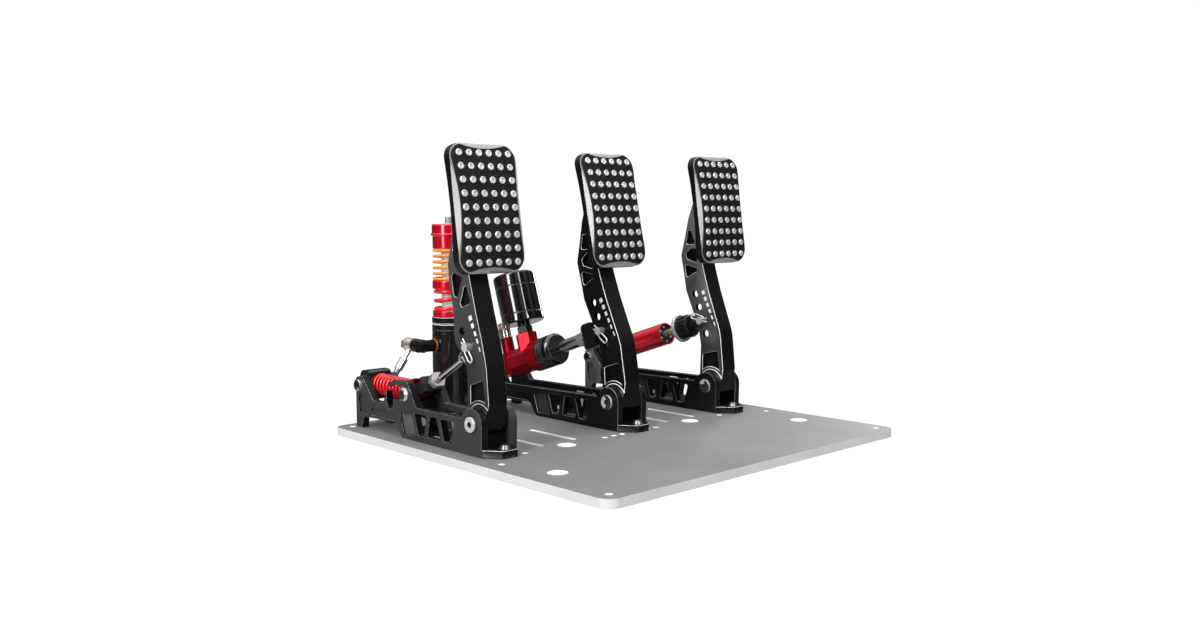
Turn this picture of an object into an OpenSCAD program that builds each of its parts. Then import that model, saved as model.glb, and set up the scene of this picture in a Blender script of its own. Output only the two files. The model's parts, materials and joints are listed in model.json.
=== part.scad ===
// Three-pedal set for a driving simulator: clutch, hydraulic brake and throttle on one base plate.
// X points to the right, Y away from the driver, Z up. The origin is the centre of the plate's underside.

/* [Base plate] */
// Width of the plate, left to right
plate_w = 400; // [380:1:440]
// Depth of the plate, front to rear
plate_d = 396; // [390:1:440]
// Thickness of the plate
plate_t = 8; // [6:0.5:12]
// Radius of the plate's corners
plate_corner_r = 12; // [4:1:20]
// Distance of the corner holes from the plate's sides
plate_hole_inset = 14; // [10:1:18]
// Diameter of the corner holes
plate_hole_d = 6.6; // [5:0.1:8]
// Diameter of the large service holes
service_hole_d = 18; // [12:0.5:22]
// Width of the adjustment slots
slot_w = 6; // [4.5:0.5:8]
// Front end of the adjustment slots
slot_front_y = -18; // [-20:1:-10]
// Length of the adjustment slots
slot_len = 66; // [50:1:70]

/* [Pedal modules] */
// Distance of the clutch module's centre from the plate's left side
clutch_inset = 38; // [36:1:44]
// Centre of the brake module, right of the plate's middle
brake_x = 5; // [-5:1:15]
// Distance of the throttle module's centre from the plate's right side
throttle_inset = 48; // [42:1:54]
// Width of one module over its two rails
module_w = 40; // [39:0.5:44]
// Thickness of a side rail
rail_t = 7.25; // [6:0.25:8]
// Front end of the rails
rail_front_y = -21; // [-24:0.5:-20]
// Rear end of the rails
rail_rear_y = 183; // [181:0.5:190]
// Height of the rail deck above the plate
deck_h = 32; // [30:0.5:34]
// Position of the pedal pivot, front to rear
pivot_y = -7; // [-9:0.5:-5]
// Height of the pedal pivot above the plate
pivot_h = 28; // [26:0.5:31]
// Radius of the rail's boss round the pivot
pivot_boss_r = 14.6; // [13:0.2:16]
// Radius of the pivot bolt's shank
pivot_r = 5; // [4:0.25:6]
// Position of the rear anchor, front to rear
anchor_y = 176; // [172:0.5:177]
// Height of the rear anchor and of the clutch slot above the plate
anchor_h = 42.5; // [40:0.5:44]
// Radius of the rear anchor screws
anchor_r = 4; // [3:0.25:5]
// Thickness of the foot that joins two rails
foot_t = 7; // [5:0.5:9]
// Length of the foot's nose in front of the rails
nose_len = 16; // [12:0.5:20]

/* [Pedal arms] */
// Width of an arm
arm_w = 21; // [18:0.5:23]
// Thickness of an arm's side walls
arm_wall = 4; // [3:0.25:5]
// Thickness of an arm's front wall
arm_front_wall = 5; // [4:0.5:7]
// Radius of an arm's hub
hub_r = 16; // [15:0.5:17]
// Running gap between the hub and each rail
hub_gap = 0.25; // [0.15:0.05:0.4]
// Lean of the clutch arm at rest
clutch_lean = 0; // [-2:0.5:2]
// Lean of the brake arm at rest
brake_lean = 4; // [2:0.5:6]
// Lean of the throttle arm at rest
throttle_lean = 0; // [-2:0.5:2]
// Radius of the linkage pins
pin_r = 4; // [3:0.25:4.5]
// Spacing of the pin holes along the arm
pin_pitch = 15; // [14:0.5:16]

/* [Pedal pads] */
// Width of a pad
pad_w = 72.5; // [66:0.5:80]
// Height of a pad
pad_h = 114; // [108:0.5:120]
// Thickness of a pad plate
pad_t = 8; // [6:0.5:10]
// Radius of the pad face's curve
pad_curve_r = 390; // [300:5:500]
// Radius of the pad's corners
pad_corner_r = 14; // [10:0.5:18]
// Thickness of the grip sheet
grip_t = 1.5; // [1:0.25:2.5]
// Columns of studs
stud_cols = 6; // [4:1:6]
// Rows of studs
stud_rows = 9; // [6:1:9]
// Spacing of the stud columns
stud_pitch_x = 10.75; // [9:0.25:11]
// Spacing of the stud rows
stud_pitch_z = 12; // [10:0.25:12.25]
// Radius of a stud
stud_r = 3; // [2:0.25:3.5]
// Height of a stud
stud_h = 1.6; // [1:0.2:2.5]

/* [Clutch linkage] */
// Position of the slot bolt at rest, front to rear
slot_bolt_y = 95.9; // [95.7:0.1:98]
// Radius of the slot bolt's shank
slot_bolt_r = 4; // [3:0.25:4.5]
// Radius of the slot bolt's heads
slot_head_r = 6.8; // [6:0.2:8]
// Slack in the fork's eyes round the slot bolt
fork_slack = 0.9; // [0.8:0.1:1.2]
// Mean radius of the clutch spring
clutch_spring_r = 9.2; // [9:0.1:9.3]
// Radius of the clutch spring's wire
clutch_wire_r = 1.4; // [1:0.05:1.5]
// Coils of the clutch spring
clutch_coils = 13; // [9:1:15]
// Half the width of the cup that holds the clutch spring's rear end
cup_r = 12.4; // [12.3:0.05:12.45]

/* [Brake hydraulics] */
// Radius of the brake's pushrod
brake_rod_r = 6.5; // [5:0.25:7]
// Radius of the master cylinder's front collar
collar_r = 17; // [15:0.5:18]
// Radius of the reservoir
reservoir_r = 23; // [19:0.5:24]
// Length of the reservoir
reservoir_len = 55; // [45:1:60]
// Position of the slave cylinder, left to right
slave_x = -77; // [-84:1:-70]
// Position of the slave cylinder, front to rear
slave_y = 168; // [164:0.5:169]
// Radius of the slave cylinder
slave_r = 18.4; // [17:0.2:19]
// Height of the slave cylinder's body above the plate
slave_body_h = 91.5; // [88:0.5:94]
// Height of the slave cylinder's collar
slave_collar_h = 13.5; // [10:0.5:15]
// Thickness of the piston's spring seat
piston_t = 6; // [4.5:0.25:7]
// Free height of the firm spring
firm_len = 22.8; // [22:0.1:26]
// Height of the middle ring
ring_t = 9.4; // [7:0.2:12]
// Free height of the soft spring
soft_len = 33; // [31:0.5:36]
// Height of the top cap
cap_h = 25.5; // [22:0.5:32]
// Radius of the slave cylinder's centre post
post_r = 8; // [6:0.25:9]
// Mean radius of the soft spring
soft_r = 15.6; // [14:0.1:15.8]
// Radius of the soft spring's wire
soft_wire_r = 1.45; // [1.2:0.05:1.6]
// Coils of the soft spring
soft_coils = 5; // [4:1:6]
// Mean radius of the firm spring
firm_r = 14.2; // [13:0.1:14.8]
// Radius of the firm spring's wire
firm_wire_r = 2.05; // [1.7:0.05:2.15]
// Coils of the firm spring
firm_coils = 2; // [2:1:3]
// Radius of the hydraulic hose
hose_r = 3.2; // [2.5:0.1:3.4]

/* [Throttle damper] */
// Radius of the damper tube
damper_r = 12.6; // [11:0.2:12.6]
// Radius of the damper's rod
damper_rod_r = 4; // [3:0.25:5]
// Radius of the adjusting knob
knob_r = 13; // [11:0.5:14]
// Radius of the locking ring
lock_ring_r = 15; // [13.5:0.5:16]

/* [Hidden] */

clutch_x = clutch_inset - plate_w / 2;
throttle_x = plate_w / 2 - throttle_inset;
module_x = [clutch_x, brake_x, throttle_x];
lean = [clutch_lean, brake_lean, throttle_lean];
rail_x = module_w / 2 - rail_t / 2;
inner_w = module_w - 2 * rail_t;
hub_w = inner_w - 2 * hub_gap;
run = 0.05;
half_arm = arm_w / 2;
slot_h = anchor_h;

// Points of a closed outline with its corners rounded. Each corner is [y, z, radius].
function arc(c, r, a0, a1, n) =
  [for (i = [0:n]) c + r * [cos(a0 + (a1 - a0) * i / n), sin(a0 + (a1 - a0) * i / n)]];
function wrap(a) = a > 180 ? a - 360 : (a < -180 ? a + 360 : a);
function corner(p, a, b, r, n) =
  let (
    u = (a - p) / norm(a - p),
    v = (b - p) / norm(b - p),
    half = acos(max(-1, min(1, u * v))) / 2,
    t = r / tan(half),
    c = p + (u + v) / norm(u + v) * (r / sin(half)),
    s = p + u * t - c,
    e = p + v * t - c,
    a0 = atan2(s[1], s[0]),
    a1 = a0 + wrap(atan2(e[1], e[0]) - a0)
  )
  arc(c, r, a0, a1, n);
function xy(p) = [p[0], p[1]];
function rounded(pts, n = 4) = [
  for (i = [0:len(pts) - 1])
    let (p = pts[i], a = pts[(i + len(pts) - 1) % len(pts)], b = pts[(i + 1) % len(pts)])
      each (p[2] > 0 ? corner(xy(p), xy(a), xy(b), p[2], n) : [xy(p)])
];

// A profile drawn in (y, z) and extruded along X about its own centre.
module across(w) {
  rotate([90, 0, 90])
    linear_extrude(w, center = true)
      children();
}
// A round bar along X.
module bar_x(r, w) {
  rotate([0, 90, 0])
    cylinder(r = r, h = w, center = true, $fn = 48);
}
// A six-sided bar along Z with the given width across its flats.
module hex(flats, h) {
  cylinder(r = flats / 2 / cos(30), h = h, $fn = 6);
}

// Places of the frames that the linkages share.
row_angle = 20;
row_dir = [sin(row_angle), cos(row_angle)];
row_start = [8.3, 55.5];
row_count = [2, 4, 4];
row_first = [1, 0, 0];
clutch_row_angle = 39;
clutch_row_start = [14, 66.5];
clutch_row_step = (pin_pitch + 2) * [sin(clutch_row_angle), cos(clutch_row_angle)];
function hole(i, k) =
  i == 0 ? clutch_row_start + (k - 1) * clutch_row_step : row_start + k * pin_pitch * row_dir;
function lean_back(p, t) = [p[0] * cos(t) + p[1] * sin(t), p[1] * cos(t) - p[0] * sin(t)];
function pin_at(i) = [pivot_y, pivot_h] + lean_back(hole(i, 1), lean[i]);
anchor = [anchor_y, anchor_h];
function strut_len(i) = norm(pin_at(i) - anchor);
function strut_angle(i) = atan2(pin_at(i)[1] - anchor[1], anchor[0] - pin_at(i)[0]);
slot_bolt_at = [slot_bolt_y, slot_h];
rod_len = norm(pin_at(0) - slot_bolt_at);
rod_angle = atan2(pin_at(0)[1] - slot_bolt_at[1], slot_bolt_at[0] - pin_at(0)[0]);
echo(pins = [for (i = [0:2]) pin_at(i)], struts = [for (i = [1:2]) [strut_len(i), strut_angle(i)]]);
echo(rod = [rod_len, rod_angle]);

// The arm's own frame: the pivot, with the arm's lean taken up.
module arm_frame(i) {
  translate([module_x[i], pivot_y, plate_t + pivot_h])
    rotate([-lean[i], 0, 0])
      children();
}
// A strut's frame: the rear anchor, with Z along the strut towards the arm's pin.
module strut_frame(i) {
  translate([module_x[i], anchor_y, plate_t + anchor_h])
    rotate([90 - strut_angle(i), 0, 0])
      children();
}
// The clutch rod's frame: the slot bolt, with Z along the rod towards the arm's pin.
module rod_frame() {
  translate([clutch_x, slot_bolt_y, plate_t + slot_h])
    rotate([90 - rod_angle, 0, 0])
      children();
}
// The slave cylinder's frame: its axis, from the plate's top face.
module slave_frame(z = 0) {
  translate([slave_x, slave_y, plate_t + z])
    children();
}

// Base plate
small_row_x = [
  clutch_x + 11, clutch_x + 22, brake_x - 46, brake_x - 34, brake_x - 23, brake_x + 14, brake_x + 25,
  throttle_x - 24, throttle_x + 16
];
small_row_y = pivot_y - 23;
side_hole = [plate_w / 2 - 17, small_row_y - 20];
service_holes = [
  [32 - plate_w / 2, small_row_y - 75], [brake_x - 95, small_row_y], [brake_x + 76, small_row_y],
  [plate_w / 2 - 34, small_row_y - 75]
];
slot_x = [brake_x - 114, brake_x - 73, brake_x + 55, brake_x + 96];
small_d = 6;
foot_screw_y = [pivot_y - 22, pivot_y + 37, pivot_y + 97];
foot_screw_r = 3;
module base_plate() {
  color([0.42, 0.43, 0.45])
    difference() {
      linear_extrude(plate_t)
        polygon(rounded([
          [-plate_w / 2, -plate_d / 2, plate_corner_r], [plate_w / 2, -plate_d / 2, plate_corner_r],
          [plate_w / 2, plate_d / 2, plate_corner_r], [-plate_w / 2, plate_d / 2, plate_corner_r]
        ], 6));
      for (x = [-1, 1], y = [-1, 1])
        translate([x * (plate_w / 2 - plate_hole_inset), y * (plate_d / 2 - plate_hole_inset), -1])
          cylinder(d = plate_hole_d, h = plate_t + 2, $fn = 32);
      for (x = [-1, 1])
        translate([x * side_hole[0], side_hole[1], -1])
          cylinder(d = small_d, h = plate_t + 2, $fn = 32);
      for (x = small_row_x)
        translate([x, small_row_y, -1])
          cylinder(d = small_d, h = plate_t + 2, $fn = 32);
      for (p = service_holes)
        translate([p[0], p[1], -1])
          cylinder(d = service_hole_d, h = plate_t + 2, $fn = 48);
      for (x = slot_x) {
        for (y = [slot_front_y + slot_w / 2, slot_front_y + slot_len - slot_w / 2])
          translate([x, y, -1])
            cylinder(d = slot_w, h = plate_t + 2, $fn = 32);
        translate([x - slot_w / 2, slot_front_y + slot_w / 2, -1])
          cube([slot_w, slot_len - slot_w, plate_t + 2]);
      }
      for (x = module_x, y = foot_screw_y)
        translate([x, y, -1])
          cylinder(r = foot_screw_r, h = plate_t + 2, $fn = 32);
    }
}

// Side rails
arch = [102, 111.5, 170, 172.5];
arch_h = 12.5;
hump_y = [77.5, 92.5, 114.5, 123.5, 134];
hump_h = 55;
tail_h = 29.5;
window_y = [91.5, 116.4, 127.6];
function rail_outline(hump) = concat(
  [
    [rail_front_y, 0, 1], [arch[0], 0, 2], [arch[1], arch_h + 1, 3], [arch[2], arch_h - 1, 3],
    [arch[3], 0, 0.5],
    [rail_rear_y, 0, 0.5], [rail_rear_y, anchor_h + 7.5, 3.5], [anchor_y - 4, anchor_h + 10, 3],
    [anchor_y - 24.5, tail_h, 3]
  ],
  hump ? [
    [hump_y[4], tail_h, 3], [hump_y[3], hump_h - 4.5, 6], [hump_y[2], hump_h - 0.5, 6],
    [hump_y[1], hump_h, 4],
    [hump_y[0], deck_h, 3]
  ] : [],
  [
    [pivot_y + 16, deck_h, 2.5], [pivot_y + 9, pivot_h + 11.4, 0], [pivot_y, pivot_h, 0],
    [pivot_y - pivot_boss_r, pivot_h, 0]
  ]
);
truss = [
  [[82, 26.5], [61, 26.8], [65.8, 6.4], [75.2, 5.9]],
  [[56, 26.5], [45.5, 26.8], [39, 6.4], [60.1, 6.4]],
  [[40.6, 26.8], [18.1, 26.8], [24, 5.9], [34.2, 5.8]]
];
badge_pocket = [[157, 22.5], [154.5, 15], [112.5, 15], [115.5, 22.5]];
rear_pocket = [[178.8, 34], [177.3, 15.5], [162, 14.5], [162.5, 24], [170, 34]];
x_pocket = [[105, 24], [98.5, 4], [78.2, 4.5], [85, 25]];
function soft_corners(pts, r) = [for (p = pts) [p[0], p[1], r]];
// side is -1 for the left rail and 1 for the right rail of module i.
module rail(i, side) {
  translate([module_x[i] + side * rail_x, 0, plate_t])
    difference() {
      union() {
        across(rail_t)
          polygon(rounded(rail_outline(i == 0)));
        translate([0, pivot_y, pivot_h])
          bar_x(pivot_boss_r, rail_t);
      }
      for (w = truss)
        across(rail_t + 2)
          polygon(rounded(soft_corners(w, 2.2)));
      translate([side * (rail_t / 2 - 0.4), 0, 0])
        across(1.6)
          polygon(rounded(soft_corners(badge_pocket, 2)));
      for (w = [rear_pocket, x_pocket])
        translate([side * (rail_t / 2 - 0.4), 0, 0])
          across(2.8)
            polygon(rounded(soft_corners(w, 2)));
      if (i == 0)
        across(rail_t + 2)
          polygon(rounded([
            [window_y[0], slot_h - 6.7, 4], [window_y[1], slot_h - 6.7, 1.2], [window_y[1], slot_h - 17, 5],
            [window_y[2], slot_h - 17, 5], [window_y[2], slot_h + 3.5, 6],
            [window_y[1] + 2.5, slot_h + 7.5, 5],
            [window_y[0], slot_h + 7.2, 6]
          ]));
      translate([0, pivot_y, pivot_h])
        bar_x(pivot_r, rail_t + 2);
      translate([0, anchor_y, anchor_h])
        bar_x(anchor_r, rail_t + 2);
    }
}
module clutch_left_rail() {
  color([0.16, 0.16, 0.17])
    rail(0, -1);
}
module clutch_right_rail() {
  color([0.16, 0.16, 0.17])
    rail(0, 1);
}
module brake_left_rail() {
  color([0.09, 0.09, 0.1])
    rail(1, -1);
}
module brake_right_rail() {
  color([0.09, 0.09, 0.1])
    rail(1, 1);
}
module throttle_left_rail() {
  color([0.09, 0.09, 0.1])
    rail(2, -1);
}
module throttle_right_rail() {
  color([0.09, 0.09, 0.1])
    rail(2, 1);
}

// Feet between the rails, with a nose in front of them
foot_rear_y = 98;
nose_half = 8;
module module_feet() {
  color([0.08, 0.08, 0.09])
    for (x = module_x)
      translate([x, 0, plate_t])
        difference() {
          linear_extrude(foot_t)
            polygon(rounded([
              [-module_w / 2, rail_front_y, 0.5], [-nose_half, rail_front_y - nose_len, 4],
              [nose_half, rail_front_y - nose_len, 4], [module_w / 2, rail_front_y, 0.5],
              [inner_w / 2, rail_front_y, 0], [inner_w / 2, foot_rear_y, 3], [-inner_w / 2, foot_rear_y, 3],
              [-inner_w / 2, rail_front_y, 0]
            ]));
          for (y = foot_screw_y)
            translate([0, y, -1])
              cylinder(r = foot_screw_r, h = foot_t + 2, $fn = 32);
        }
}
screw_head_r = 5;
screw_head_h = 3.6;
module foot_screws() {
  color([0.75, 0.75, 0.76])
    for (x = module_x, y = foot_screw_y)
      translate([x, y, 0])
        difference() {
          union() {
            translate([0, 0, 0.5])
              cylinder(r = foot_screw_r, h = plate_t + foot_t, $fn = 32);
            translate([0, 0, plate_t + foot_t])
              cylinder(r1 = screw_head_r, r2 = screw_head_r - 1.4, h = screw_head_h, $fn = 32);
          }
          translate([0, 0, plate_t + foot_t + screw_head_h - 2])
            hex(4, 3);
        }
}

// Pivot bolts through both rails and the arm's hub
pivot_head_r = 7;
pivot_head_h = 2.4;
module pivot_bolts() {
  color([0.8, 0.8, 0.8])
    for (x = module_x)
      translate([x, pivot_y, plate_t + pivot_h])
        difference() {
          union() {
            bar_x(pivot_r, module_w + 2);
            for (s = [-1, 1])
              translate([s * (module_w / 2 + pivot_head_h / 2), 0, 0])
                bar_x(pivot_head_r, pivot_head_h);
          }
          for (s = [-1, 1])
            translate([s * (module_w / 2 + pivot_head_h), 0, 0])
              rotate([0, 90, 0])
                cylinder(r = 2.9, h = 3.6, center = true, $fn = 6);
        }
}

// Screws that anchor the cup, the master cylinder and the damper between the rear bosses
anchor_reach = 1.2;
anchor_head_r = 5.8;
anchor_head_h = 3.6;
module anchor_screws() {
  color([0.8, 0.8, 0.8])
    for (x = module_x, s = [-1, 1])
      translate([x, anchor_y, plate_t + anchor_h])
        rotate([0, s * 90, 0])
          difference() {
            union() {
              translate([0, 0, inner_w / 2 - hub_gap - anchor_reach])
                cylinder(r = anchor_r, h = anchor_reach + hub_gap + rail_t + 1, $fn = 48);
              translate([0, 0, module_w / 2])
                cylinder(r = anchor_head_r, h = anchor_head_h, $fn = 48);
            }
            translate([0, 0, module_w / 2 + anchor_head_h - 2.4])
              hex(5.5, 3);
          }
}

// Pedal arms
arm_top = [
  [16.5, 140, 20], [16.5, 198, 3], [28, 198, 6], [35, 180, 30], [39.5, 160, 0], [45, 139, 8]
];
arm_outline = [
  concat(
    [[-9.6, -6.5, 2], [-12.2, 17.2, 0], [-12.8, 17.5, 0], [-9.7, 51, 60]],
    [[-3, 75.4, 0], [4.5, 98, 0], [13, 127, 0]],
    arm_top,
    [[43.5, 125, 12], [39.3, 106, 10], [37, 95, 20], [37, 80, 10], [35, 68, 5]],
    [[26.3, 60.1, 6], [19.3, 51.3, 6], [17.6, 40, 10], [17.6, 12, 6], [12, -8, 4]]
  ),
  concat(
    [[-13.6, -6.5, 2], [-15.7, 17.2, 0], [-16.3, 17.5, 0], [-12, 58, 60]],
    [[-4.5, 77, 0], [5, 102, 0], [11.8, 123.6, 0]],
    arm_top,
    [[39.8, 115.4, 12], [37.3, 101.2, 10], [25.2, 74.5, 0], [18, 57.1, 20]],
    [[15.2, 42, 20], [16.5, 10, 6], [12, -8, 4]]
  )
];
arm_inner = [
  [
    [-6.8, 22, 2], [-4.2, 52, 20], [2.4, 76, 0], [9.8, 98.5, 0], [18.2, 127, 0],
    [21.7, 140, 10], [21.7, 193, 3], [60, 193, 0], [60, 22, 0]
  ],
  [
    [-9.5, 22, 2], [-6.5, 58, 20], [1, 77, 0], [10.5, 102, 0], [17, 123.6, 0],
    [21.7, 140, 10], [21.7, 193, 3], [60, 193, 0], [60, 22, 0]
  ]
];
front_shift = arm_front_wall - 5;
arm_window_low = [[12.3, 33, 2.5], [-8.5, 38, 2.5], [-11.6, 14, 1], [12.3, 14, 1]];
clutch_window_low = [[13, 32.4, 2.5], [-4.6, 38.4, 2.5], [-8.3, 14, 1], [13, 14, 1]];
top_window = [[33.8, 171], [37.8, 151.5], [24, 152]];
arm_windows = [
  [
    [[36.4, 132], [25, 128.6], [24.2, 126], [31.7, 109.5], [36.3, 110.8], [39.7, 128.5]],
    [[18.4, 121], [12.6, 108.2], [12.4, 105.6], [24.8, 101.1], [27.3, 104.6], [21.4, 119.3]],
    top_window
  ],
  [
    [[39.2, 129.5], [17.5, 125], [36.6, 114.8]],
    [[30, 147.5], [38.2, 141], [35.5, 135.5], [21.5, 131.5], [22.5, 147]],
    top_window
  ]
];
window_soft = [1, 2.2];
window_arc_r = 20.3;
hub_foot_r = 17.2;
hub_core_r = 11;
// kind is 0 for the clutch arm and 1 for the two others.
module pedal_arm(i) {
  kind = min(i, 1);
  side = (hub_w - arm_w) / 2;
  arm_frame(i)
    difference() {
      union() {
        across(arm_w)
          polygon(rounded(arm_outline[kind]));
        intersection() {
          across(hub_w + 1)
            polygon(rounded(arm_outline[kind]));
          for (s = [-1, 1])
            rotate([0, s * 90, 0])
              translate([0, 0, arm_w / 2])
                cylinder(r1 = hub_foot_r, r2 = hub_r - 1.6, h = side, $fn = 96);
        }
        bar_x(hub_core_r, hub_w);
      }
      translate([0, front_shift, 0])
        across(arm_w - 2 * arm_wall)
          polygon(rounded(arm_inner[kind]));
      difference() {
        across(arm_w + 2)
          polygon(rounded(i == 0 ? clutch_window_low : arm_window_low));
        bar_x(window_arc_r, arm_w + 4);
      }
      for (w = arm_windows[kind])
        across(arm_w + 2)
          polygon(rounded(soft_corners(w, window_soft[kind])));
      for (k = [row_first[i]:row_first[i] + row_count[i] - 1])
        translate([0, hole(i, k)[0], hole(i, k)[1]])
          bar_x(pin_r, arm_w + 2);
      bar_x(pivot_r + run, hub_w + 2);
    }
}
module clutch_arm() {
  color([0.13, 0.13, 0.14])
    pedal_arm(0);
}
module brake_arm() {
  color([0.07, 0.07, 0.08])
    pedal_arm(1);
}
module throttle_arm() {
  color([0.07, 0.07, 0.08])
    pedal_arm(2);
}

// Pads. The pad's frame stands at the middle of the curved face, with the face towards -Y.
face_at = [-4.75, 190];
face_lean = 7.9;
module pad_frame(i) {
  arm_frame(i)
    translate([0, face_at[0], face_at[1]])
      rotate([-face_lean, 0, 0])
        children();
}
// What lies behind the pad's curve at the given depth.
module behind(depth) {
  translate([0, pad_curve_r, 0])
    rotate([0, 90, 0])
      cylinder(r = pad_curve_r - depth, h = 200, center = true, $fn = 360);
}
// A curved sheet between two depths, cut to an outline in (x, z).
module curved_sheet(d0, d1) {
  intersection() {
    rotate([90, 0, 0])
      translate([0, 0, -40])
        linear_extrude(60)
          children();
    difference() {
      behind(d0);
      behind(d1);
    }
  }
}
module pad_outline(w, h, r) {
  polygon(rounded([[-w / 2, -h / 2, r], [w / 2, -h / 2, r], [w / 2, h / 2, r], [-w / 2, h / 2, r]], 6));
}
crescent_leg = 5;
// One milled crescent, at 45 degrees, along an edge at distance d from the middle, over the half length l.
module crescent(d, l) {
  cut = crescent_leg * sin(45);
  cutter_r = (l * l + cut * cut) / (2 * cut);
  translate([d, grip_t, 0])
    rotate([0, 0, -45])
      translate([cutter_r - cut, 0, 0])
        rotate([90, 0, 0])
          cylinder(r = cutter_r, h = 40, center = true, $fn = 180);
}
// How far the curved face lies back at the pad's ends.
end_sag = pad_curve_r - sqrt(pad_curve_r * pad_curve_r - pad_h * pad_h / 4);
module pad(i) {
  pad_frame(i)
    difference() {
      curved_sheet(grip_t, grip_t + pad_t)
        pad_outline(pad_w, pad_h, pad_corner_r);
      for (s = [0, 180])
        rotate([0, s, 0]) {
          crescent(pad_w / 2, pad_h / 2 - 8);
          translate([0, end_sag, 0])
            rotate([0, -90, 0])
              crescent(pad_h / 2, pad_w / 2 - 7);
        }
    }
}
grip_rim = 1.4;
pinch = 3.6;
module grip(i) {
  w = pad_w - 2 * grip_rim;
  h = pad_h - 2 * grip_rim;
  side_l = h / 2 - 11;
  end_l = w / 2 - 10;
  side_r = (side_l * side_l + pinch * pinch) / (2 * pinch);
  end_r = (end_l * end_l + pinch * pinch) / (2 * pinch);
  pad_frame(i)
    curved_sheet(0, grip_t)
      difference() {
        pad_outline(w, h, pad_corner_r - grip_rim);
        for (s = [-1, 1]) {
          translate([s * (w / 2 + side_r - pinch), 0])
            circle(r = side_r, $fn = 240);
          translate([0, s * (h / 2 + end_r - pinch)])
            circle(r = end_r, $fn = 120);
        }
      }
}
stud_step = stud_pitch_z / pad_curve_r * 180 / PI;
module studs(i) {
  pad_frame(i)
    for (r = [0:stud_rows - 1], c = [0:stud_cols - 1])
      translate([0, pad_curve_r, 0])
        rotate([(r - (stud_rows - 1) / 2) * stud_step, 0, 0])
          translate([(c - (stud_cols - 1) / 2) * stud_pitch_x, -pad_curve_r, 0])
            rotate([90, 0, 0]) {
              cylinder(r = stud_r, h = stud_h * 0.6, $fn = 24);
              translate([0, 0, stud_h * 0.6])
                cylinder(r1 = stud_r, r2 = stud_r * 0.72, h = stud_h * 0.4, $fn = 24);
            }
}
bracket_w = 26;
bracket_z = [148, 204];
arm_face_y = 16.5;
pad_centre = face_at + pad_curve_r * [cos(face_lean), -sin(face_lean)];
pad_back_r = pad_curve_r - grip_t - pad_t;
function pad_back(z) =
  pad_centre[0] - sqrt(pad_back_r * pad_back_r - (z - pad_centre[1]) * (z - pad_centre[1]));
bracket_steps = 4;
module pad_bracket(i) {
  arm_frame(i)
    difference() {
      across(bracket_w)
        polygon(concat(
          [[arm_face_y, bracket_z[0]], [arm_face_y, bracket_z[1]]],
          [
            for (k = [bracket_steps:-1:0])
              let (z = bracket_z[0] + (bracket_z[1] - bracket_z[0]) * k / bracket_steps)
                [pad_back(z), z]
          ]
        ));
      for (z = [bracket_z[0] + 14, bracket_z[1] - 14])
        translate([0, arm_face_y, z])
          rotate([90, 0, 0])
            cylinder(r = 3, h = 12, center = true, $fn = 32);
    }
}
module clutch_pad_bracket() {
  color([0.1, 0.1, 0.11])
    pad_bracket(0);
}
module clutch_pad() {
  color([0.12, 0.12, 0.13])
    pad(0);
}
module clutch_grip() {
  color([0.04, 0.04, 0.045])
    grip(0);
}
module clutch_studs() {
  color([0.85, 0.85, 0.86])
    studs(0);
}
module brake_pad_bracket() {
  color([0.1, 0.1, 0.11])
    pad_bracket(1);
}
module brake_pad() {
  color([0.12, 0.12, 0.13])
    pad(1);
}
module brake_grip() {
  color([0.04, 0.04, 0.045])
    grip(1);
}
module brake_studs() {
  color([0.85, 0.85, 0.86])
    studs(1);
}
module throttle_pad_bracket() {
  color([0.1, 0.1, 0.11])
    pad_bracket(2);
}
module throttle_pad() {
  color([0.12, 0.12, 0.13])
    pad(2);
}
module throttle_grip() {
  color([0.04, 0.04, 0.045])
    grip(2);
}
module throttle_studs() {
  color([0.85, 0.85, 0.86])
    studs(2);
}

// Linkage pins, each held by a spring clip through its left end
pin_left = 6;
pin_head_r = 5.6;
pin_head_t = 2.5;
clip_w = 1.4;
clip_angle = [52, 38, 38];
clip_loop_r = 3.5;
clip_leg = 11;
// The clip's outline in its own plane: a straight leg through the pin, a loop, and a leg that hugs the pin.
module clip_outline() {
  hug = pin_r + 0.2;
  drop = 2 * clip_loop_r - clip_w;
  translate([-9, -clip_w / 2])
    square([9 + clip_leg, clip_w]);
  translate([clip_leg, clip_w / 2 - clip_loop_r])
    difference() {
      circle(r = clip_loop_r, $fn = 40);
      circle(r = clip_loop_r - clip_w, $fn = 40);
      translate([-2 * clip_loop_r, -clip_loop_r + clip_w])
        square([2 * clip_loop_r, 2 * clip_loop_r - 2 * clip_w]);
    }
  difference() {
    union() {
      circle(r = hug + clip_w, $fn = 48);
      translate([0, -clip_w / 2 - drop])
        square([clip_leg, clip_w]);
      translate([-8, -clip_w / 2 - drop + 2])
        square([7, clip_w]);
    }
    circle(r = hug, $fn = 48);
    translate([-2 * hug, -clip_w / 2 - 0.6])
      square([4 * hug, 3 * hug]);
  }
}
module clip() {
  across(clip_w)
    clip_outline();
}
module linkage_pin(i) {
  at = hole(i, 1);
  arm_frame(i)
    translate([0, at[0], at[1]]) {
      difference() {
        union() {
          translate([-pin_left / 2, 0, 0])
            bar_x(pin_r, arm_w + pin_left);
          translate([half_arm + pin_head_t / 2, 0, 0])
            bar_x(pin_head_r, pin_head_t);
        }
        translate([-half_arm - pin_left / 2, 0, 0])
          rotate([clip_angle[i], 0, 0])
            cube([clip_w + 2 * run, 4 * pin_r, clip_w + 2 * run], center = true);
      }
      translate([-half_arm - pin_left / 2, 0, 0])
        rotate([clip_angle[i], 0, 0])
          mirror([0, 1, 0])
            clip();
    }
}
module clutch_pin() {
  color([0.78, 0.77, 0.76])
    linkage_pin(0);
}
module brake_pin() {
  color([0.78, 0.77, 0.76])
    linkage_pin(1);
}
module throttle_pin() {
  color([0.78, 0.77, 0.76])
    linkage_pin(2);
}

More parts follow.
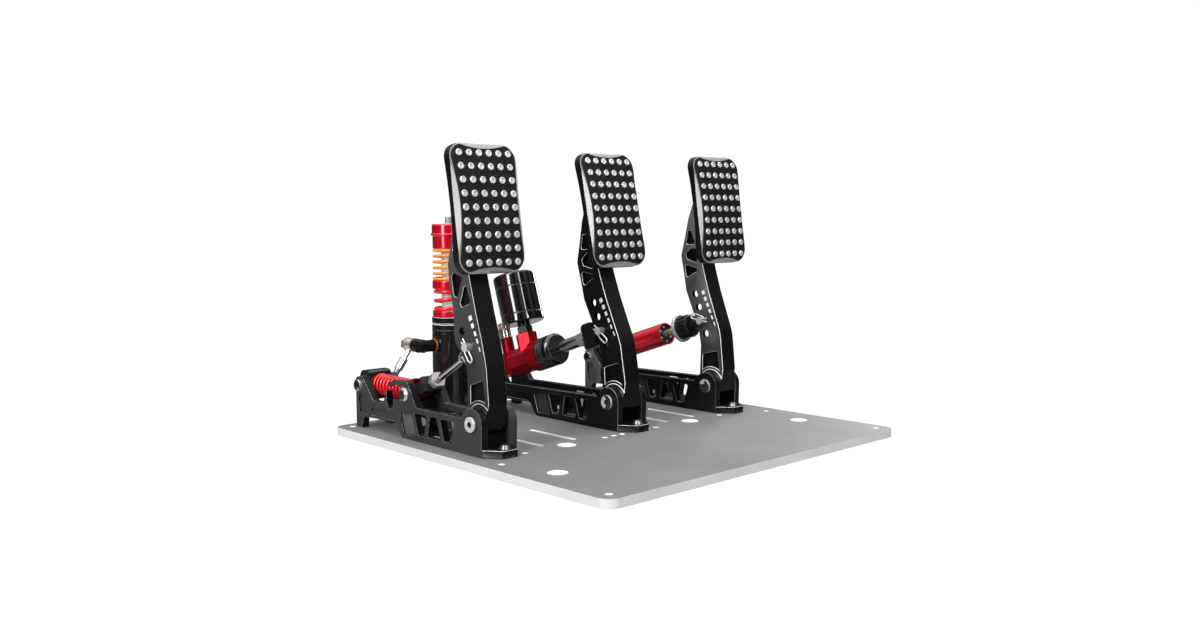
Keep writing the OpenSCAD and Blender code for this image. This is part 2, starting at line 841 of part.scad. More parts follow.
// Clutch rod between the arm's pin and the slot bolt
eye_w = 11;
eye_r = 8;
fork_w = 20;
ear_t = 4;
fork_len = 24;
nut_flats = 14;
nut_t = 7;
rod_r = 3.4;
flange_r = 6.2;
fork_grip = 8;
rod_flats = 10;
flange_from_pin = 29;
module clutch_pushrod() {
  color([0.8, 0.8, 0.81])
    rod_frame()
      difference() {
        union() {
          translate([0, 0, fork_len - fork_grip])
            cylinder(r = rod_r, h = rod_len - fork_len + fork_grip - pin_r - 1, $fn = 40);
          translate([0, 0, rod_len - flange_from_pin])
            cylinder(r1 = rod_r + 1, r2 = flange_r, h = 3, $fn = 40);
          translate([0, 0, rod_len - flange_from_pin + 3])
            cylinder(r = flange_r, h = 2, $fn = 40);
          translate([0, 0, rod_len - flange_from_pin + 5])
            hex(rod_flats, flange_from_pin - 5 - pin_r - 2);
          translate([0, 0, rod_len])
            bar_x(eye_r, eye_w);
        }
        translate([0, 0, rod_len])
          bar_x(pin_r + run, eye_w + 2);
      }
}
module clutch_fork() {
  color([0.07, 0.07, 0.08])
    rod_frame()
      difference() {
        union() {
          for (s = [-1, 1])
            translate([s * (fork_w - ear_t) / 2, 0, 0]) {
              bar_x(eye_r, ear_t);
              translate([-ear_t / 2, -6, 0])
                cube([ear_t, 12, fork_len - fork_grip]);
            }
          translate([-fork_w / 2, -6, fork_len - 12])
            cube([fork_w, 12, 7]);
          translate([0, 0, fork_len - 6])
            hex(14, 6);
        }
        bar_x(slot_bolt_r + fork_slack, fork_w + 2);
        translate([0, 0, fork_len - fork_grip])
          cylinder(r = rod_r, h = fork_grip + 2, $fn = 40);
      }
}
module clutch_nut() {
  color([0.8, 0.8, 0.81])
    rod_frame()
      translate([0, 0, fork_len])
        difference() {
          hex(nut_flats, nut_t);
          translate([0, 0, -1])
            cylinder(r = rod_r, h = nut_t + 2, $fn = 40);
        }
}
slot_head_t = 3.4;
slot_head_gap = 0.3;
module slot_bolt() {
  color([0.82, 0.82, 0.82])
    translate([clutch_x, slot_bolt_y, plate_t + slot_h]) {
      bar_x(slot_bolt_r, module_w + 2);
      for (s = [-1, 1])
        rotate([0, s * 90, 0])
          translate([0, 0, module_w / 2 + slot_head_gap]) {
            cylinder(r = slot_head_r, h = slot_head_t * 0.5, $fn = 48);
            translate([0, 0, slot_head_t * 0.5])
              cylinder(r1 = slot_head_r, r2 = slot_head_r - 2, h = slot_head_t * 0.5, $fn = 48);
          }
    }
}
seat_r = 12.2;
seat_y = [9, 13];
spigot_r = 6.4;
spigot_len = 9;
seat_eye_r = 6.8;
module spring_seat() {
  color([0.55, 0.02, 0.04])
    translate([clutch_x, slot_bolt_y, plate_t + slot_h])
      difference() {
        union() {
          bar_x(seat_eye_r, eye_w);
          translate([-eye_w / 2, 0, -5])
            cube([eye_w, seat_y[0] + 1, 10]);
          rotate([-90, 0, 0]) {
            translate([0, 0, seat_y[0]])
              cylinder(r = seat_r, h = seat_y[1] - seat_y[0], $fn = 48);
            translate([0, 0, seat_y[1]])
              cylinder(r = spigot_r, h = spigot_len, $fn = 40);
          }
        }
        bar_x(slot_bolt_r, eye_w + 2);
      }
}
cup_front = 7;
cup_depth = 8;
cup_back = 4;
cup_up = 14;
cup_down = 15.5;
module spring_cup() {
  color([0.06, 0.06, 0.07])
    translate([clutch_x, anchor_y, plate_t + anchor_h])
      difference() {
        across(2 * cup_r)
          polygon(rounded([
            [-cup_front, -cup_down, 2], [cup_depth + cup_back - 3, -cup_down, 8],
            [cup_depth + cup_back, cup_up, 7], [-cup_front, cup_up, 4]
          ], 6));
        rotate([-90, 0, 0])
          translate([0, 0, -cup_front - 1])
            cylinder(r = clutch_spring_r + clutch_wire_r + 0.4, h = cup_front + cup_depth + 1, $fn = 64);
        bar_x(anchor_r, 2 * cup_r + 2);
      }
}

// Coil springs. A spring stands on Z from 0 to len; its wire's ends run straight onto its seats.
coil_rings = 8;
wire_sides = 6;
function coil_points(r, w, len, coils) = concat(
  [[r, 0, 0]],
  [
    for (k = [0:coils * coil_rings])
      let (a = 360 * k / coil_rings, z = 2 * w + (len - 4 * w) * k / (coils * coil_rings))
        [r * cos(a), r * sin(a), z]
  ],
  [[r, 0, len]]
);
function tangent(p, k) =
  let (a = p[max(0, k - 1)], b = p[min(len(p) - 1, k + 1)])
    (b - a) / norm(b - a);
// Ring of the tube at point k: one side faces the spring's axis.
function ring_at(p, k, r) =
  let (
    end = k == 0 || k == len(p) - 1,
    t = end ? [0, 0, 1] : tangent(p, k),
    out = [p[k][0], p[k][1], 0] / norm([p[k][0], p[k][1], 0]),
    side = cross(t, out) / norm(cross(t, out)),
    face = cross(side, t)
  )
  [
    for (j = [0:wire_sides - 1])
      let (a = 360 * j / wire_sides)
        p[k] + r * (cos(a) * face + sin(a) * side)
  ];
function tube_faces(rings, sides) = concat(
  [
    for (k = [0:rings - 2], j = [0:sides - 1])
      let (a = k * sides + j, b = k * sides + (j + 1) % sides)
        each [[a, a + sides, b], [b, a + sides, b + sides]]
  ],
  [for (j = [1:sides - 2]) [0, j, j + 1]],
  [for (j = [1:sides - 2]) [(rings - 1) * sides, (rings - 1) * sides + j + 1, (rings - 1) * sides + j]]
);
module coil_spring(r, w, len, coils) {
  p = coil_points(r, w, len, coils);
  polyhedron(
    points = [for (k = [0:len(p) - 1]) each ring_at(p, k, w)],
    faces = tube_faces(len(p), wire_sides)
  );
}
// Least distance between the wires of neighbouring turns, measured on the points of the tube's centre line.
function coil_gap(r, w, len, coils) =
  let (p = coil_points(r, w, len, coils), n = len(p))
    min([
      for (i = [0:n - 1], j = [0:n - 1])
        if (j - i > coil_rings / 2 && j - i < 2 * coil_rings)
          norm(p[i] - p[j])
    ]) - 2 * w;
clutch_spring_len = anchor_y + cup_depth - (slot_bolt_y + seat_y[1]);
echo(clutch_gap = coil_gap(clutch_spring_r, clutch_wire_r, clutch_spring_len, clutch_coils));
echo(soft_gap = coil_gap(soft_r, soft_wire_r, soft_len, soft_coils));
echo(firm_gap = coil_gap(firm_r, firm_wire_r, firm_len, firm_coils));
module clutch_spring() {
  color([0.85, 0.03, 0.04])
    translate([clutch_x, slot_bolt_y + seat_y[1], plate_t + slot_h])
      rotate([-90, 0, 0])
        coil_spring(clutch_spring_r, clutch_wire_r, clutch_spring_len, clutch_coils);
}

// Brake strut: pushrod, rod end, master cylinder and reservoir
end_cap_z = [71, 93];
brake_nut_at = 44;
brake_nut_t = 13;
brake_nut_flats = 13.5;
rod_tail_z = 66;
function brake_len() = strut_len(1);
module brake_pushrod() {
  color([0.5, 0.5, 0.52])
    strut_frame(1) {
      translate([0, 0, rod_tail_z])
        cylinder(r = brake_rod_r, h = brake_len() - brake_nut_at - rod_tail_z, $fn = 48);
      translate([0, 0, brake_len() - brake_nut_at])
        hex(brake_nut_flats, brake_nut_t);
    }
}
eye_slack = [0, 0.35, 0.8];
module rod_end(i, from, body_r) {
  difference() {
    union() {
      translate([0, 0, from])
        cylinder(r = body_r, h = strut_len(i) - from - 5, $fn = 40);
      translate([0, 0, strut_len(i)])
        bar_x(eye_r, eye_w);
    }
    translate([0, 0, strut_len(i)])
      bar_x(pin_r + eye_slack[i], eye_w + 2);
  }
}
clevis_z = [brake_nut_at - brake_nut_t, 12];
clevis_h = 13;
clevis_w = 19;
clevis_grooves = [-4.2, 0, 4.2];
// The clevis stands behind the arm. Its tongue runs to the pin between the arm's side walls.
module brake_rod_end() {
  from = brake_len() - clevis_z[0];
  depth = clevis_z[0] - clevis_z[1];
  color([0.06, 0.06, 0.07])
    strut_frame(1)
      difference() {
        union() {
          rod_end(1, from + depth - 2, 5.4);
          translate([0, 0, from])
            across(clevis_w)
              polygon(rounded([
                [-clevis_h, 0, 3], [clevis_h, 0, 5], [clevis_h, depth - 3.5, 2], [clevis_h - 8, depth, 3],
                [-clevis_h, depth, 5]
              ]));
        }
        for (y = clevis_grooves, s = [-1, 1])
          translate([s * clevis_w / 2, y, from + depth / 2])
            cube([2.4, 1.8, depth + 2], center = true);
      }
}
master_flats = 28;
master_z = [20, 57];
block_w = 23;
block_z = [-9, 22];
boss_z = 45.5;
boss_flats = 21;
boss_top = 27.5;
port_z = 11;
port_r = 7;
port_top = 30;
bore_floor = 48;
module master_cylinder() {
  color([0.75, 0.02, 0.07])
    strut_frame(1)
      difference() {
        union() {
          translate([-block_w / 2, -11, block_z[0]])
            cube([block_w, 24, block_z[1] - block_z[0]]);
          translate([0, 0, master_z[0]])
            rotate([0, 0, 22.5])
              cylinder(r = master_flats / 2 / cos(22.5), h = master_z[1] - master_z[0], $fn = 8);
          translate([0, 0, master_z[1]])
            cylinder(r = collar_r, h = end_cap_z[0] - master_z[1], $fn = 64);
          translate([0, 0, boss_z])
            rotate([-90, 0, 0])
              hex(boss_flats, boss_top);
          translate([0, 0, port_z])
            rotate([-90, 0, 0])
              cylinder(r = port_r, h = port_top, $fn = 40);
        }
        bar_x(anchor_r, block_w + 2);
        translate([0, 0, bore_floor])
          cylinder(r = brake_rod_r + 1, h = end_cap_z[0] - bore_floor + 1, $fn = 48);
      }
}
cap_groove = 1.1;
module master_end_cap() {
  color([0.05, 0.05, 0.06])
    strut_frame(1)
      difference() {
        union() {
          translate([0, 0, end_cap_z[0]])
            cylinder(r = collar_r, h = end_cap_z[1] - end_cap_z[0] - 3, $fn = 64);
          translate([0, 0, end_cap_z[1] - 3])
            cylinder(r1 = collar_r, r2 = collar_r - 2.5, h = 3, $fn = 64);
        }
        for (z = [3, 7, 11])
          translate([0, 0, end_cap_z[0] + z])
            difference() {
              cylinder(r = collar_r + 1, h = 1.6, $fn = 64);
              cylinder(r = collar_r - cap_groove, h = 1.6, $fn = 64);
            }
        translate([0, 0, end_cap_z[0] - 1])
          cylinder(r = brake_rod_r + run, h = 40, $fn = 48);
      }
}
neck_len = 11.5;
neck_flats = 15;
module reservoir_neck() {
  color([0.07, 0.07, 0.08])
    strut_frame(1)
      translate([0, boss_top, boss_z])
        rotate([-90, 0, 0]) {
          cylinder(r = 8.5, h = 1.2, $fn = 40);
          translate([0, 0, 1.2])
            hex(neck_flats, 6.5);
          translate([0, 0, 7.7])
            cylinder(r = 7, h = neck_len - 7.7, $fn = 40);
        }
}
groove = 0.5;
module reservoir() {
  r = reservoir_r;
  l = reservoir_len;
  color([0.03, 0.03, 0.035])
    strut_frame(1)
      translate([0, boss_top + neck_len, boss_z])
        rotate([-90, 0, 0])
          rotate_extrude($fn = 96)
            polygon([
              [0, 0], [r - 2, 0], [r - 0.6, 0.6], [r, 2], [r, 9.5], [r - groove, 9.8], [r - groove, 10.4],
              [r, 10.7], [r, l - 15], [r - groove, l - 14.7], [r - groove, l - 14.1], [r, l - 13.8],
              [r, l - 2.5], [r - 0.8, l - 0.8], [r - 2.5, l], [0, l]
            ]);
}

// Hose unions: a ring round a hollow bolt, with a short pipe and a crimped sleeve
washer_t = 1.2;
washer_r = 7.2;
ring_h = 9;
ring_r = 7;
bolt_flats = 12;
bolt_head = 6;
pipe_r = 2.6;
sleeve_r = 4.4;
// The union stands on Z, with its pipe leaving along -Y.
module hose_union(pipe, sleeve) {
  translate([0, 0, washer_t])
    cylinder(r = ring_r, h = ring_h, $fn = 48);
  translate([0, 0, 2 * washer_t + ring_h])
    hex(bolt_flats, bolt_head);
  cylinder(r = 3.4, h = 2 * washer_t + ring_h + 1, $fn = 32);
  translate([0, 0, washer_t + ring_h / 2])
    rotate([90, 0, 0]) {
      cylinder(r = pipe_r, h = ring_r + pipe + 1, $fn = 32);
      translate([0, 0, ring_r + pipe])
        cylinder(r = sleeve_r, h = sleeve, $fn = 32);
    }
}
module washer_at(z) {
  translate([0, 0, z])
    difference() {
      cylinder(r = washer_r, h = washer_t, $fn = 48);
      translate([0, 0, -1])
        cylinder(r = 3.4, h = washer_t + 2, $fn = 32);
    }
}
master_pipe = 3;
master_sleeve = 11;
module on_master_port() {
  strut_frame(1)
    translate([0, port_top, port_z])
      rotate([-90, 0, 0])
        children();
}
module master_union() {
  color([0.8, 0.8, 0.82])
    on_master_port()
      rotate([0, 0, 180])
        hose_union(master_pipe, master_sleeve);
}

// Slave cylinder with its two springs in series on a centre post
slave_foot_r = 20;
slave_foot_t = 5;
cavity_r = 15;
port_h = slave_body_h - 15.5;
spot_r = 7.5;
spot_out = 1.6;
module slave_cylinder() {
  color([0.05, 0.05, 0.06])
    slave_frame()
      difference() {
        union() {
          rotate_extrude($fn = 96)
            polygon([
              [0, 0], [slave_foot_r, 0], [slave_foot_r, slave_foot_t - 1], [slave_foot_r - 1, slave_foot_t],
              [slave_r, slave_foot_t], [slave_r, slave_body_h - 3.8], [slave_r - 0.5, slave_body_h - 3.5],
              [slave_r - 0.5, slave_body_h - 2.8], [slave_r, slave_body_h - 2.5], [slave_r, slave_body_h],
              [0, slave_body_h]
            ]);
          translate([0, 0, port_h])
            rotate([0, -90, 0])
              cylinder(r = spot_r, h = slave_r + spot_out, $fn = 40);
        }
        translate([0, 0, slave_foot_t + 3])
          cylinder(r = cavity_r, h = slave_body_h, $fn = 64);
        translate([0, 0, slave_foot_t])
          cylinder(r = post_r, h = 10, $fn = 48);
      }
}
skirt_r = 12;
collar_top = slave_body_h + slave_collar_h;
module slave_collar() {
  color([0.06, 0.06, 0.07])
    slave_frame(slave_body_h)
      difference() {
        union() {
          cylinder(r = slave_r, h = slave_collar_h * 0.45, $fn = 96);
          translate([0, 0, slave_collar_h * 0.45])
            cylinder(r = slave_r - 0.7, h = slave_collar_h * 0.1, $fn = 96);
          translate([0, 0, slave_collar_h * 0.55])
            cylinder(r = slave_r, h = slave_collar_h * 0.45, $fn = 96);
        }
        translate([0, 0, -1])
          cylinder(r = skirt_r + run, h = slave_collar_h + 2, $fn = 64);
      }
}
seat_gap = 0.3;
piston_z = collar_top + seat_gap;
firm_z = piston_z + piston_t;
ring_z = firm_z + firm_len;
soft_z = ring_z + ring_t;
cap_z = soft_z + soft_len;
slide_gap = 0.3;
post_top = cap_z + 5;
stud_post_r = 3.75;
stud_above = 8;
module centre_post() {
  color([0.85, 0.85, 0.84])
    slave_frame() {
      translate([0, 0, slave_foot_t])
        cylinder(r = post_r, h = post_top - slave_foot_t, $fn = 48);
      translate([0, 0, post_top])
        cylinder(r = stud_post_r, h = cap_z + cap_h + stud_above - post_top, $fn = 32);
    }
}
skirt_len = 24;
seat_ring_r = 17.4;
module slave_piston() {
  color([0.8, 0.02, 0.05])
    slave_frame()
      difference() {
        union() {
          translate([0, 0, piston_z])
            cylinder(r = seat_ring_r, h = piston_t, $fn = 64);
          translate([0, 0, piston_z - skirt_len])
            cylinder(r = skirt_r, h = skirt_len, $fn = 64);
        }
        translate([0, 0, piston_z - skirt_len - 1])
          cylinder(r = post_r + slide_gap, h = skirt_len + piston_t + 2, $fn = 48);
      }
}
module middle_ring() {
  color([0.8, 0.02, 0.05])
    slave_frame(ring_z)
      difference() {
        rotate_extrude($fn = 64)
          polygon([
            [0, 0], [seat_ring_r - 1, 0], [seat_ring_r, 1],
            [seat_ring_r, ring_t - 1], [seat_ring_r - 1, ring_t], [0, ring_t]
          ]);
        translate([0, 0, -1])
          cylinder(r = post_r + slide_gap, h = ring_t + 2, $fn = 48);
      }
}
cap_r = 16.8;
rim_z = cap_h * 0.57;
module top_cap() {
  color([0.8, 0.02, 0.05])
    slave_frame(cap_z)
      difference() {
        rotate_extrude($fn = 64)
          polygon([
            [0, 0], [cap_r, 0], [cap_r, rim_z - 1.4], [cap_r + 1.8, rim_z - 0.8],
            [cap_r + 1.8, rim_z + 0.8], [cap_r + 0.7, rim_z + 1.4],
            [cap_r + 0.7, cap_h - 1], [cap_r - 0.3, cap_h], [0, cap_h]
          ]);
        translate([0, 0, -1])
          cylinder(r = post_r, h = post_top - cap_z + 1, $fn = 48);
        cylinder(r = stud_post_r, h = cap_h + 1, $fn = 32);
      }
}
module soft_spring() {
  color([0.95, 0.5, 0.08])
    slave_frame(soft_z)
      coil_spring(soft_r, soft_wire_r, soft_len, soft_coils);
}
module firm_spring() {
  color([0.85, 0.03, 0.04])
    slave_frame(firm_z)
      coil_spring(firm_r, firm_wire_r, firm_len, firm_coils);
}

// Elbow from the slave cylinder's port to the hose union, which points to the rear
elbow_r = 6.2;
elbow_len = 20;
branch_x = 12.5;
branch_r = 7;
branch_len = 15;
pipe_lean = 36;
module on_slave_port() {
  slave_frame(port_h)
    translate([-slave_r - spot_out, 0, 0])
      rotate([0, -90, 0])
        children();
}
module on_branch() {
  on_slave_port()
    translate([0, branch_len, washer_t + branch_x])
      rotate([-90, 0, 0])
        children();
}
module slave_elbow() {
  color([0.16, 0.16, 0.17])
    on_slave_port()
      translate([0, 0, washer_t]) {
        cylinder(r = elbow_r, h = elbow_len, $fn = 40);
        translate([0, 0, branch_x])
          rotate([-90, 0, 0])
            cylinder(r = branch_r, h = branch_len, $fn = 40);
      }
}
slave_pipe = 10;
slave_sleeve = 13;
module slave_union() {
  color([0.8, 0.8, 0.82])
    on_branch()
      rotate([0, 0, pipe_lean - 90])
        hose_union(slave_pipe, slave_sleeve);
}
module sealing_washers() {
  color([0.85, 0.42, 0.12]) {
    on_master_port() {
      washer_at(0);
      washer_at(washer_t + ring_h);
    }
    on_slave_port()
      washer_at(0);
    on_branch() {
      washer_at(0);
      washer_at(washer_t + ring_h);
    }
  }
}

// Point on the slave union's pipe line, t mm past the end of its sleeve
function past_sleeve(t) =
  let (out = ring_r + slave_pipe + slave_sleeve + t)
    [
      slave_x - slave_r - spot_out - washer_t - branch_x - out * sin(pipe_lean),
      slave_y + branch_len + washer_t + ring_h / 2,
      port_h - out * cos(pipe_lean)
    ];
// Hose between the two unions. The points are [x, y, z] from the plate's top face.
hose_low = 4;
hose_back = slave_y + 25;
hose_rise_y = slave_y + 38;
hose_route = [
  past_sleeve(0.15), past_sleeve(7.5),
  [slave_x - 60, slave_y + 21, port_h - 39], [slave_x - 62, slave_y + 22, port_h - 47],
  [slave_x - 62, slave_y + 23, 21], [slave_x - 58, slave_y + 24, 13],
  [slave_x - 50, hose_back, 7.5], [slave_x - 40, hose_back, hose_low + 1],
  [slave_x - 29, hose_back, hose_low], [slave_x - 15, hose_back, hose_low],
  [slave_x - 1, hose_back, hose_low], [slave_x + 13, hose_back, hose_low],
  [slave_x + 27, hose_back, hose_low], [brake_x - 42, hose_back + 1, hose_low + 1.5],
  [brake_x - 31, hose_rise_y - 9, 10], [brake_x - 22, hose_rise_y - 5, 18],
  [brake_x - 15, hose_rise_y - 1, 29], [brake_x - 9, hose_rise_y + 1, 42],
  [brake_x - 4, hose_rise_y + 1, 54], [brake_x - 1, hose_rise_y - 2, 65],
  [brake_x, hose_rise_y - 7, 71]
];
hose_sides = 10;
hose_steps = 3;
function spline(a, b, c, d, t) =
  0.5 * (2 * b + (c - a) * t + (2 * a - 5 * b + 4 * c - d) * t * t + (3 * b - a - 3 * c + d) * t * t * t);
function hose_points(p) = concat(
  [
    for (i = [0:len(p) - 2], s = [0:hose_steps - 1])
      spline(p[max(0, i - 1)], p[i], p[i + 1], p[min(len(p) - 1, i + 2)], s / hose_steps)
  ],
  [p[len(p) - 1]]
);
function hose_ring(p, k) =
  let (
    t = tangent(p, k),
    square_to = cross(t, [0.2, 1, 0.1]),
    side = square_to / norm(square_to),
    up = cross(side, t)
  )
    [
      for (j = [0:hose_sides - 1])
        p[k] + hose_r * (cos(360 * j / hose_sides) * side + sin(360 * j / hose_sides) * up)
    ];
module brake_hose() {
  p = hose_points(hose_route);
  color([0.7, 0.7, 0.72])
    translate([0, 0, plate_t])
      polyhedron(
        points = [for (k = [0:len(p) - 1]) each hose_ring(p, k)],
        faces = tube_faces(len(p), hose_sides)
      );
}

// Throttle damper
function damper_len() = strut_len(2);
damper_front = 113.7;
damper_rear = 36;
damper_bore_r = 11.3;
damper_floor = 45;
recess = 2.5;
plate_h = 3;
block_rear = 12;
block_half = 13;
module damper_tube() {
  color([0.75, 0.02, 0.07])
    strut_frame(2)
      difference() {
        translate([0, 0, damper_rear])
          cylinder(r = damper_r, h = damper_front - damper_rear, $fn = 64);
        translate([0, 0, damper_floor])
          cylinder(r = damper_bore_r, h = damper_front, $fn = 64);
      }
}
// The block at the damper's rear end, and the plate that closes the tube's front end
module damper_ends() {
  color([0.05, 0.05, 0.06])
    strut_frame(2) {
      difference() {
        across(block_w)
          polygon(rounded([
            [-block_half + 5, -block_rear, 2], [block_half - 4, -block_rear, 4],
            [block_half, -block_rear + 8, 3], [block_half, damper_rear - 8, 3],
            [block_half - 3, damper_rear, 1], [-block_half + 3, damper_rear, 1],
            [-block_half, damper_rear - 8, 3], [-block_half, -block_rear + 9, 3]
          ]));
        bar_x(anchor_r, block_w + 2);
      }
      translate([0, 0, damper_front - recess - plate_h])
        difference() {
          cylinder(r = damper_bore_r, h = plate_h, $fn = 64);
          translate([0, 0, -1])
            cylinder(r = damper_rod_r + run, h = plate_h + 2, $fn = 40);
        }
    }
}
lock_ring_at = 43;
lock_ring_t = 3.5;
knob_len = 15.5;
knob_depth = 8;
damper_tail = 70;
module damper_rod() {
  color([0.8, 0.8, 0.82])
    strut_frame(2) {
      translate([0, 0, damper_tail])
        cylinder(
          r = damper_rod_r, h = damper_len() - lock_ring_at + lock_ring_t + knob_depth - damper_tail, $fn = 40
        );
      translate([0, 0, damper_len() - lock_ring_at])
        cylinder(r = lock_ring_r, h = lock_ring_t, $fn = 64);
    }
}
flutes = 16;
flute_r = 1.3;
module adjuster_knob() {
  color([0.06, 0.06, 0.07])
    strut_frame(2)
      translate([0, 0, damper_len() - lock_ring_at + lock_ring_t])
        difference() {
          union() {
            cylinder(r = knob_r, h = knob_len - 2, $fn = 64);
            translate([0, 0, knob_len - 2])
              cylinder(r1 = knob_r, r2 = knob_r - 2, h = 2, $fn = 64);
          }
          for (a = [0:flutes - 1])
            rotate([0, 0, 360 * a / flutes])
              translate([knob_r + 0.3, 0, -1])
                cylinder(r = flute_r, h = knob_len + 2, $fn = 16);
          translate([0, 0, -1])
            cylinder(r = damper_rod_r, h = knob_len + 2, $fn = 40);
        }
}
module throttle_rod_end() {
  color([0.06, 0.06, 0.07])
    strut_frame(2)
      rod_end(2, damper_len() - lock_ring_at + lock_ring_t + knob_len, 6);
}

base_plate();
clutch_left_rail();
clutch_right_rail();
brake_left_rail();
brake_right_rail();
throttle_left_rail();
throttle_right_rail();
module_feet();
foot_screws();
pivot_bolts();
anchor_screws();
clutch_arm();
clutch_pad_bracket();
clutch_pad();
clutch_grip();
clutch_studs();
clutch_pin();
brake_arm();
brake_pad_bracket();
brake_pad();
brake_grip();
brake_studs();
brake_pin();
throttle_arm();
throttle_pad_bracket();
throttle_pad();
throttle_grip();
throttle_studs();
throttle_pin();
clutch_pushrod();
clutch_fork();
clutch_nut();
slot_bolt();
spring_seat();
clutch_spring();
spring_cup();
brake_pushrod();
brake_rod_end();
master_cylinder();
master_end_cap();
reservoir();
reservoir_neck();
master_union();
slave_cylinder();
slave_collar();
centre_post();
top_cap();
soft_spring();
middle_ring();
firm_spring();
slave_piston();
slave_elbow();
slave_union();
brake_hose();
sealing_washers();
damper_tube();
damper_ends();
damper_rod();
adjuster_knob();
throttle_rod_end();
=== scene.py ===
"""Dresses the sim racing pedal set: materials, broken edges, round wire, the braided hose, small turned
pieces and a studio. Lengths are in mm and become metres times MM, unless a comment says metres."""

import json
import math

import bmesh
import bpy
from mathutils import Matrix, Vector


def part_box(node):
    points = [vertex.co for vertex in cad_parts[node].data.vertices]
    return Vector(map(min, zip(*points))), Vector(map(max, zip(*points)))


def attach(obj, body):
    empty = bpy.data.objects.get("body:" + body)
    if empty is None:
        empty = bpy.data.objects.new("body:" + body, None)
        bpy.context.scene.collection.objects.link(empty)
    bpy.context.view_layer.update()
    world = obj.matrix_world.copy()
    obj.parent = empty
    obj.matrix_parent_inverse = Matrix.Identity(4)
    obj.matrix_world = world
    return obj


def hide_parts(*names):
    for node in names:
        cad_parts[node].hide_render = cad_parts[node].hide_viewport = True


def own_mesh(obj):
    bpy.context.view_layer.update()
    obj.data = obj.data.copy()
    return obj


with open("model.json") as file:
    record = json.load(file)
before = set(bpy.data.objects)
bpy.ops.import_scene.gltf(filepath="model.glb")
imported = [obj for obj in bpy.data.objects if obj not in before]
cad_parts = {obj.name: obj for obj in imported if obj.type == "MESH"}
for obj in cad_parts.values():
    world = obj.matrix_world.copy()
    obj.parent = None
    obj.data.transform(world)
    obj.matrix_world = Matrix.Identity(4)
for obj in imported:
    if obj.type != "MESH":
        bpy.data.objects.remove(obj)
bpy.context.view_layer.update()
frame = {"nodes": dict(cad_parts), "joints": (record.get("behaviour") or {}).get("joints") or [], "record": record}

MM = 0.001
PEDALS = ("clutch", "brake", "throttle")
SIDES = (("left", -1), ("right", 1))

# Sizes that the source gives
PLATE_T = 8
MODULE_W = 40
ARM_W = 21
LEAN = {"clutch": 0, "brake": 4, "throttle": 0}
FACE_AT = (-4.75, 190)
FACE_LEAN = 7.9
PAD_CURVE_R = 390
SLAVE_X, SLAVE_Y, PORT_H = -77, 168, 76
BRAKE_X = 5
FOOT_SCREW_Y = (-29, 30, 90)

# Tolerances
WELD = 2e-6  # metres: corners this close are one
ON_AXIS = 1e-6  # a turned ring of less than this radius is one corner
ON_PLANE = 5e-5  # metres: a corner this near a plane lies on it
FLAT_DEGREES = 0.3  # faces that meet at less than this are one
NEAR_FACE = 1e-4  # metres: a corner or a face this near a flat side belongs to it
CRISP_DEGREES = 28  # an edge sharper than this gets broken
FACING = 0.99  # the least share of a normal that makes its face look along an axis
WALL = 0.3  # the largest share of a normal along an axis in a wall that runs along it

# The hose's route: the points of the source, above the plate's top face
HOSE_R = 3.2
HOSE_LOW = 4
HOSE_BACK = SLAVE_Y + 25
HOSE_RISE_Y = SLAVE_Y + 38
HOSE_ROUTE = [
    (SLAVE_X - 50.2, SLAVE_Y + 20.7, PORT_H - 22.7), (SLAVE_X - 55.74, SLAVE_Y + 20.7, PORT_H - 30.34),
    (SLAVE_X - 60, SLAVE_Y + 21, PORT_H - 39), (SLAVE_X - 62, SLAVE_Y + 22, PORT_H - 47),
    (SLAVE_X - 62, SLAVE_Y + 23, 21), (SLAVE_X - 58, SLAVE_Y + 24, 13),
    (SLAVE_X - 50, HOSE_BACK, 7.5), (SLAVE_X - 40, HOSE_BACK, HOSE_LOW + 1),
    (SLAVE_X - 29, HOSE_BACK, HOSE_LOW), (SLAVE_X - 15, HOSE_BACK, HOSE_LOW),
    (SLAVE_X - 1, HOSE_BACK, HOSE_LOW), (SLAVE_X + 13, HOSE_BACK, HOSE_LOW),
    (SLAVE_X + 27, HOSE_BACK, HOSE_LOW), (BRAKE_X - 42, HOSE_BACK + 1, HOSE_LOW + 1.5),
    (BRAKE_X - 31, HOSE_RISE_Y - 9, 10), (BRAKE_X - 22, HOSE_RISE_Y - 5, 18),
    (BRAKE_X - 15, HOSE_RISE_Y - 1, 29), (BRAKE_X - 9, HOSE_RISE_Y + 1, 42),
    (BRAKE_X - 4, HOSE_RISE_Y + 1, 54), (BRAKE_X - 1, HOSE_RISE_Y - 2, 65),
    (BRAKE_X, HOSE_RISE_Y - 7, 71),
]

# Camera: the photograph's angle
CAMERA_AT = (-749.98, -761.58, 218.54)
CAMERA_TILT, CAMERA_TURN = 84.77, -43.84
SENSOR_W, CAMERA_LENS = 36, 32.49


def add_camera():
    cam = bpy.data.cameras.new("camera")
    cam.sensor_width = SENSOR_W
    cam.lens = CAMERA_LENS
    cam.clip_start = 0.01
    cam.clip_end = 50
    obj = bpy.data.objects.new("camera", cam)
    obj.location = Vector(CAMERA_AT) * MM
    obj.rotation_euler = (math.radians(CAMERA_TILT), 0, math.radians(CAMERA_TURN))
    bpy.context.scene.collection.objects.link(obj)
    bpy.context.scene.camera = obj


add_camera()


